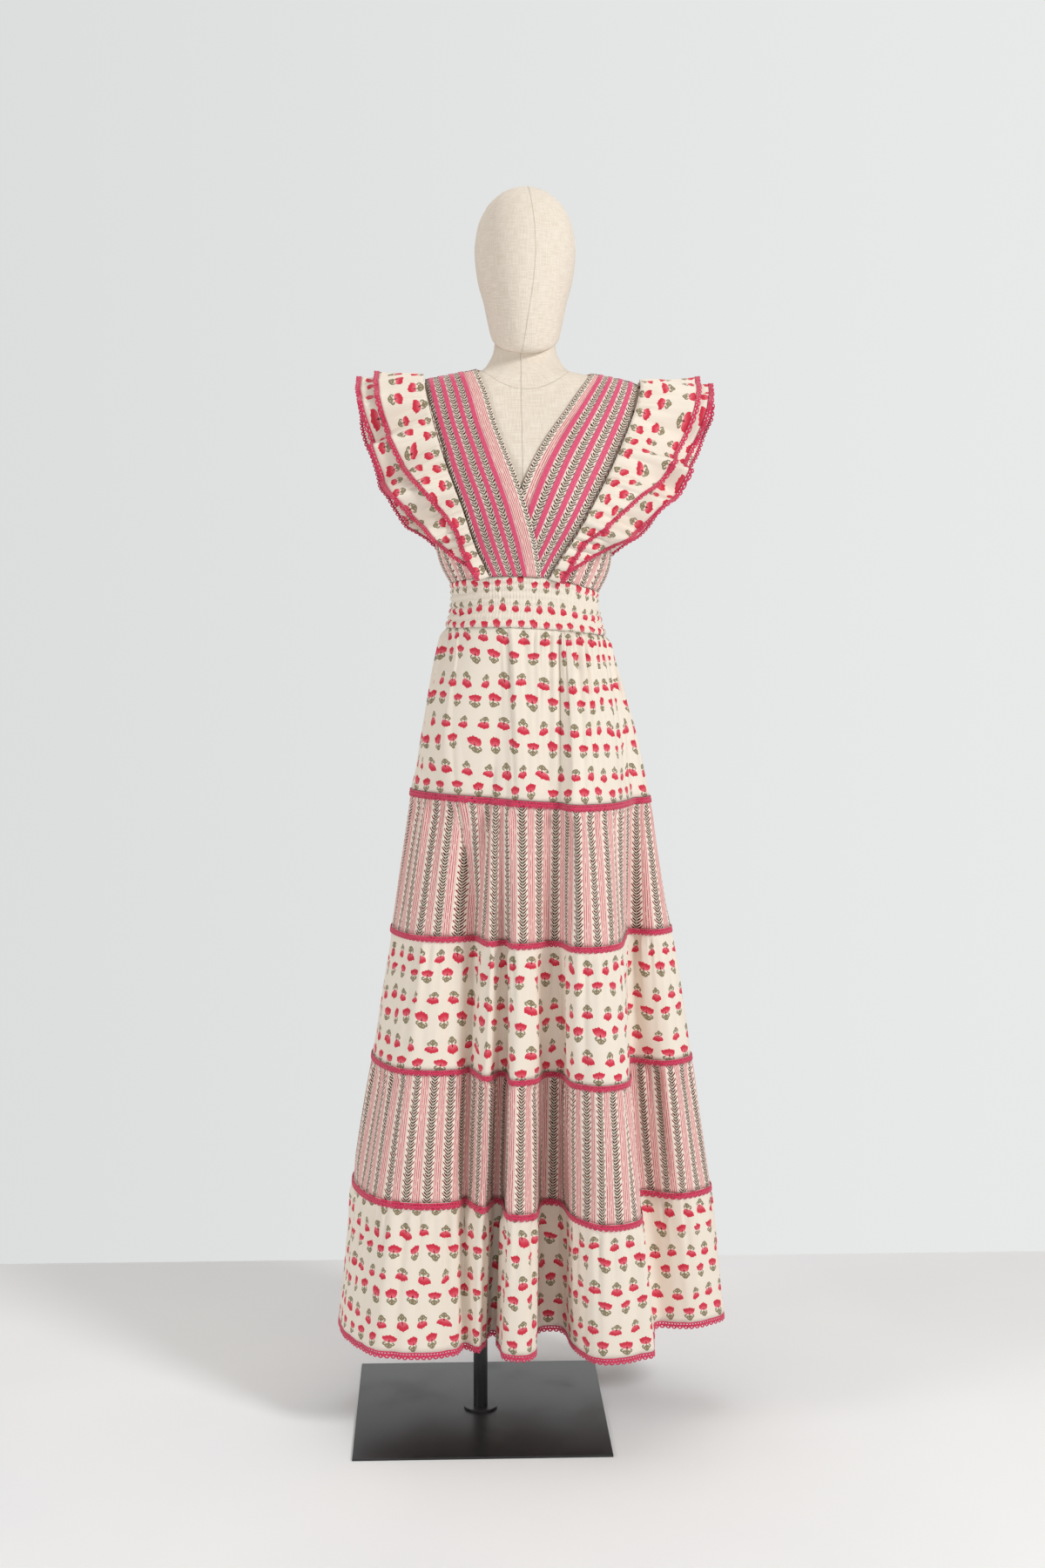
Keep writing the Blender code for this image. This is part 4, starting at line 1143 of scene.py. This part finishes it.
# spacing, depth and reach of the fine gathers under the waistband and under the other seams
WAIST_PUCKER = (0.0088, 0.0062, 0.085)
PUCKER = (0.0115, 0.0046, 0.045)
TIER_LAP = 0.0002
LEAST_ROOM = 0.0008  # between the skirt and the form
TIER_TUCK = 0.0015
TIER_UNDER = 0.0009
FOLD_SPACING = 0.048
FOLD_DEPTH = 0.0070
FOLD_REACH = 0.30
FOLD_BACK = 0.55  # share of the gathers' depth that falls inwards
SEAM_FLAT = 0.035  # over this height above the next seam the gathers flatten
SEAM_COVER = 0.006  # the cloth stays flat for this far under a seam's lace
GATHER_GROW = 0.016
PUCKER_ROUND = 0.8
# seeds of a tier's gathers, of the long folds and of the fine gathers, to which its number is added
SEEDS = (100, 200, 300)
SKIRT_POINTS = 4000
BESIDE = 0.01  # the skirt's direction is taken this far to both sides, in folds
RISE_ACROSS = 0.32  # width over which a seam's rise changes from left to right
TUCKED = 1.6  # cloth tucked away in a crease, for each metre that shows
TUCK_NARROW = 2.2
CREASE_DROP = 0.03  # the creases are read this far under the seam
TOP_STEP = 0.0022  # distance between the first tier's columns, and between the others'
TIER_STEP = 0.0037
ROW_STEP = 0.0062


def closed_curve(points, at):
    """Smooth closed curve through plan points, at places counted in points."""
    total = len(points)
    i = np.floor(at).astype(int)
    t = (at - i)[:, None]
    p0, p1, p2, p3 = (points[(i + k) % total] for k in (-1, 0, 1, 2))
    gaps = [np.sqrt(np.linalg.norm(b - a, axis=1))[:, None] for a, b in ((p0, p1), (p1, p2), (p2, p3))]
    t1 = gaps[0]
    t2 = t1 + gaps[1]
    t3 = t2 + gaps[2]
    u = t1 + t * gaps[1]
    a1 = (p0 * (t1 - u) + p1 * u) / t1
    a2 = (p1 * (t2 - u) + p2 * (u - t1)) / (t2 - t1)
    a3 = (p2 * (t3 - u) + p3 * (u - t2)) / (t3 - t2)
    b1 = (a1 * (t2 - u) + a2 * u) / t2
    b2 = (a2 * (t3 - u) + a3 * (u - t1)) / (t3 - t1)
    return (b1 * (t2 - u) + b2 * (u - t1)) / (t2 - t1)


def clear_of_form(plan, z, room, shrink=1.0):
    """Plan points at a height, pushed out to the form's section where they lie inside it."""
    half, front, back = ((size + room) * shrink for size in form_sizes(z))
    depth = np.where(plan[:, 1] < 0, front, back)
    level = np.abs(plan[:, 0] / half) ** FORM_POWER + np.abs(plan[:, 1] / depth) ** FORM_POWER
    return plan / np.minimum(level ** (1 / FORM_POWER), 1)[:, None]


def skirt_ring(z, at):
    """Plan of the skirt at a height: the folds, straight from hip to hem, kept clear of the form."""
    table = np.array([row[1:] for row in FOLDS]) / 1000
    hip, knee, hem = table[:, 0:2], table[:, 2:4], table[:, 4:6]
    if z >= HIP:
        angle = np.arctan2(hip[:, 0], -hip[:, 1])
        waist = off_form(form_point(angle, WAIST), WAIST_EASE)[:, :2]
        lines = waist + (max(WAIST - z, 0) / (WAIST - HIP)) ** HIP_ROUND * (hip - waist)
    else:
        at_hip = (z - KNEE) * (z - HEM) / ((HIP - KNEE) * (HIP - HEM))
        at_knee = (z - HIP) * (z - HEM) / ((KNEE - HIP) * (KNEE - HEM))
        at_hem = (z - HIP) * (z - KNEE) / ((HEM - HIP) * (HEM - KNEE))
        lines = hip * at_hip + knee * at_knee + hem * at_hem
    ring = closed_curve(lines, at)
    ease = SKIRT_EASE + (WAIST_EASE - SKIRT_EASE) * ease_in((z - HIP) / (WAIST - HIP))
    shrink = max(1 - GUARD_SHRINK * max(FORM_SECTIONS[0][0] - z, 0), GUARD_LEAST)
    return clear_of_form(ring, z, ease, shrink)


def tier_relief(tier, along, drop, length):
    """How far a tier's gathers stand out: short ones under its seam and a few long ones."""
    number, above, below, spacing, depth, reach, _ = tier
    seed, fold_seed, pucker_seed = (start + number for start in SEEDS)
    drop = np.maximum(drop, 0)
    relief = gathers(along, drop, length, spacing, depth, reach, seed)
    pucker = PUCKER if number > 1 else WAIST_PUCKER
    relief += gathers(along, drop, length, *pucker, pucker_seed, PUCKER_ROUND)
    relief -= 0.5 * pucker[1] * fading(drop, pucker[2])
    relief += gathers(along, drop, length, FOLD_SPACING, FOLD_DEPTH, FOLD_REACH, fold_seed, 1.0)
    relief -= FOLD_BACK * (depth * fading(drop, reach) + FOLD_DEPTH * np.exp(-drop / FOLD_REACH))
    if number < len(TIERS):
        relief = relief * ease_in((above - below - drop) / SEAM_FLAT)
    start = 0.002 if number == 1 else -SEAM_COVER
    return relief * ease_in((drop + start) / GATHER_GROW)


def tier_surface(tier):
    """Points of a tier for shares of the way round and heights, and its length round."""
    above, below = tier[1:3]
    levels, *rises = np.array(SEAM_RISE).T
    fine = np.linspace(0, len(FOLDS), SKIRT_POINTS, endpoint=False)
    ring = skirt_ring(below, fine)
    travel = travelled(np.concatenate([ring, ring[:1]]))
    length = travel[-1]

    def surface(shares, heights, lift=0.0):
        at = np.interp(shares, travel / length, np.append(fine, len(FOLDS)))
        grid = np.zeros(shares.shape + (3,))
        for i, z in enumerate(heights):
            moves = (-BESIDE, 0, BESIDE)
            before, ring, after = (skirt_ring(z, (at[i] + move) % len(FOLDS)) for move in moves)
            tangent = after - before
            normal = np.stack([tangent[:, 1], -tangent[:, 0]], axis=1)
            normal /= np.linalg.norm(normal, axis=1, keepdims=True)
            drop = np.full(at[i].shape, above - z)
            out = CLOTH / 2 + tier_relief(tier, shares[i] * length, drop, length)
            out += lift if np.ndim(lift) == 0 else lift[i]
            plan = ring + normal * np.asarray(out)[..., None]
            if z > FORM_SECTIONS[0][0] - 0.02:
                plan = clear_of_form(plan, z, LEAST_ROOM)
            grid[i, :, :2] = plan
            left, right = (np.interp(z, levels, rise) for rise in rises)
            grid[i, :, 2] = z + left + (right - left) * ease_in(plan[:, 0] / RISE_ACROSS + 0.5)
        return grid

    return surface, length


tier_pieces = {}
for tier in TIERS:
    number, above, below = tier[:3]
    surface, length = tier_surface(tier)
    columns = int(length / (TOP_STEP if number == 1 else TIER_STEP))
    rows = int((above - below) / ROW_STEP)
    heights = np.linspace(below + TIER_LAP, above, rows)
    shares = np.tile(np.arange(columns) / columns, (rows, 1))
    grid = surface(shares, heights)
    if number == 1:
        # the top edge is drawn in to the waistband's lower edge and tucked just inside it
        rise = band_bottom(grid[-1, :, 0]) + TIER_TUCK - above
        grid[..., 2] += rise[None, :] * ease_in((heights - HIP) / (WAIST - HIP))[:, None] ** 2
        edge = form_point(turns, band_bottom(ring[:, 0]))
        edge = off_form(edge, BAND_EASE + BAND_FLARE - TIER_UNDER)
        facing = np.arctan2(grid[-1, :, 0], -grid[-1, :, 1])
        edge = edge[np.argsort(np.arctan2(edge[:, 0], -edge[:, 1]))]
        edge_facing = np.arctan2(edge[:, 0], -edge[:, 1])
        radius = np.interp(facing, edge_facing, np.hypot(edge[:, 0], edge[:, 1]))
        change = radius / np.hypot(grid[-1, :, 0], grid[-1, :, 1]) - 1
        near = np.clip(1 - (above - heights) / SPREAD_BELOW, 0, 1) ** 2
        grid[..., :2] *= (1 + change[None, :] * near[:, None])[..., None]
    # the print runs on through the creases, where more cloth is tucked away
    steps = np.linalg.norm(np.roll(grid, -1, axis=1) - grid, axis=2).mean(axis=0)
    creases = np.full(columns, CREASE_DROP)
    relief = gathers(shares[0] * length, creases, length, *tier[3:6], SEEDS[0] + number)
    steps *= 1 + TUCKED * np.clip(1 - TUCK_NARROW * relief / np.median(relief), 0, 1)
    travel = np.concatenate([[0.0], np.cumsum(steps)]) * 1000
    repeat = STRIPE_REPEAT if number % 2 == 0 else FLOWER_COLUMN
    travel *= round(travel[-1] / repeat) * repeat / travel[-1]
    u = np.tile(travel, (rows, 1))
    v = (grid[..., 2] - grid[:1, :, 2]) * 1000 + tier[6]
    v = np.concatenate([v, v[:, :1]], axis=1)
    mesh = sheet_mesh(f"skirt_tier_{number}", grid, u, v, closed=True)
    material, slot = (striped, "striped_cotton") if number % 2 == 0 else (floral, "floral_cotton")
    piece = sew(f"cotton_tier_{number}", mesh, material, slot, f"skirt_tier_{number}")
    tier_pieces[number] = (piece, surface, length)


# Crimson crocheted lace covers each seam between the tiers and edges the hem: a corded heading, a row
# of eyelets and a scalloped edge that hangs free. It is stitched down along its heading.
LACE_LIFT = 0.0016
SEAM_LACE = 0.0086
HEM_LACE = 0.0098


def trim(name, node, tier, top, out, width):
    """Place a lace round a tier, from a height downwards, standing off its cloth."""
    _, surface, length = tier_pieces[tier]

    def hanging(at, drop, lift):
        grid = np.zeros(at.shape + (3,))
        for i, line in enumerate(top - drop):
            middle = float(line.mean())
            grid[i] = surface(at[i : i + 1], [middle], out + lift[i : i + 1])[0]
            grid[i, :, 2] += line - middle
        return grid

    mesh = lace_mesh(node, hanging, length, width, True)
    return sew(name, mesh, lace, "pink_lace", node, LACE_THICK)


for tier in TIERS:
    number, above, below = tier[:3]
    piece, _, length = tier_pieces[number]
    if number > 1:
        seam = number - 1
        trim(f"crochet_seam_{seam}", f"seam_lace_{seam}", number, above, LACE_LIFT, SEAM_LACE)
    if number == len(TIERS):
        trim("crochet_hem", "hem_lace", number, below, 0.0, HEM_LACE)
    hung_from = "smocked_waistband" if number == 1 else f"cotton_tier_{number - 1}"
    round(length * 1.05, 2)
    round(above - below + 0.01, 3)


# The room: a pale floor that ends where the wall would stand, even light from all sides, a soft lamp
# high in front on the right, a weaker one on the left and one above. Past the floor the backdrop is
# painted shade, darker on the left, away from the lamp on the right. The camera stands at breast height
# and looks slightly down.
FLOOR_WIDTH = 9.0
FLOOR_BACK = 0.68
FLOOR_FRONT = -6.0
CAMERA_PLACE = (-0.0517, -2.849, 1.1367)
CAMERA_PITCH = math.radians(85.075)
CAMERA_YAW = math.radians(-2.238)
CAMERA_LENS = 47.42
# painted shade on the backdrop: its left side is darker and its right side lighter, as the lamp on the
# right would leave it
SHADED_WALL_LEFT = ink(219, 220, 220)
LIT_WALL_RIGHT = ink(232, 234, 233)
FILL = 0.385

floor_finish, sockets, start = finish("pale_floor", Roughness=0.75)
place = start.node("ShaderNodeTexCoord").other("Object")
cloud = place.clouds(2.0, 4.0).fade(0.3, 0.7)
cloud.over(ink(246, 249, 253), ink(250, 253, 255)).into(sockets["Base Color"])
mesh = bpy.data.meshes.new("floor")
corners = [(-FLOOR_WIDTH, FLOOR_FRONT, 0), (FLOOR_WIDTH, FLOOR_FRONT, 0)]
corners += [(FLOOR_WIDTH, FLOOR_BACK, 0), (-FLOOR_WIDTH, FLOOR_BACK, 0)]
mesh.from_pydata(corners, [], [(0, 1, 2, 3)])
mesh.materials.append(floor_finish)
floor = bpy.data.objects.new("floor", mesh)
bpy.context.scene.collection.objects.link(floor)

scene = bpy.context.scene
world = bpy.data.worlds.new("studio")
world.use_nodes = True
scene.world = world
seen = Strand(world.node_tree).node("ShaderNodeLightPath")
wall = world.node_tree.nodes["Background"]
fill = seen.node("ShaderNodeBackground", None, {"Color": ink(255, 246, 236), "Strength": FILL})
way = seen.node("ShaderNodeTexCoord")
aside = seen.node("ShaderNodeSeparateXYZ", None, {0: way})
# the backdrop's painted shade, from dark on the left to light on the right
aside.fade(-0.35, 0.35).over(SHADED_WALL_LEFT, LIT_WALL_RIGHT).into(wall.inputs["Color"])
mixed = seen.node("ShaderNodeMixShader", None, {0: seen.math("MAXIMUM", seen.other(3)), 1: fill})
world.node_tree.links.new(wall.outputs[0], mixed.socket.node.inputs[2])
mixed.into(world.node_tree.nodes["World Output"].inputs["Surface"])
scene.view_settings.view_transform = "Standard"


def soft_lamp(name, place, aim, size, power, colour):
    """A round lamp at a place, turned towards another."""
    lamp = bpy.data.lights.new(name, "AREA")
    lamp.shape = "DISK"
    lamp.size = size
    lamp.energy = power
    lamp.color = colour
    holder = bpy.data.objects.new(name, lamp)
    holder.location = place
    way = np.array(aim) - np.array(place)
    pitch = math.atan2(math.hypot(way[0], way[1]), -way[2])
    holder.rotation_euler = (pitch, 0, math.atan2(way[1], way[0]) - math.pi / 2)
    scene.collection.objects.link(holder)


# where each lamp stands, where it points, its size in metres, its power and its colour
soft_lamp("window", (2.5, -2.5, 2.7), (0.06, 0, 0.9), 0.9, 82.0, (1.0, 0.995, 0.985))
soft_lamp("room", (-3.0, -1.7, 1.7), (0.06, 0, 0.8), 1.0, 28.0, (1.0, 1.0, 1.0))
soft_lamp("ceiling", (-0.3, 1.0, 4.2), (0.0, 0.1, 0.0), 3.0, 34.0, (0.96, 0.98, 1.0))

camera = bpy.data.cameras.new("camera")
camera.lens = CAMERA_LENS
camera.sensor_width = 36.0
viewer = bpy.data.objects.new("camera", camera)
viewer.location = CAMERA_PLACE
viewer.rotation_euler = (CAMERA_PITCH, 0, CAMERA_YAW)
scene.collection.objects.link(viewer)
scene.camera = viewer

bpy.context.view_layer.update()
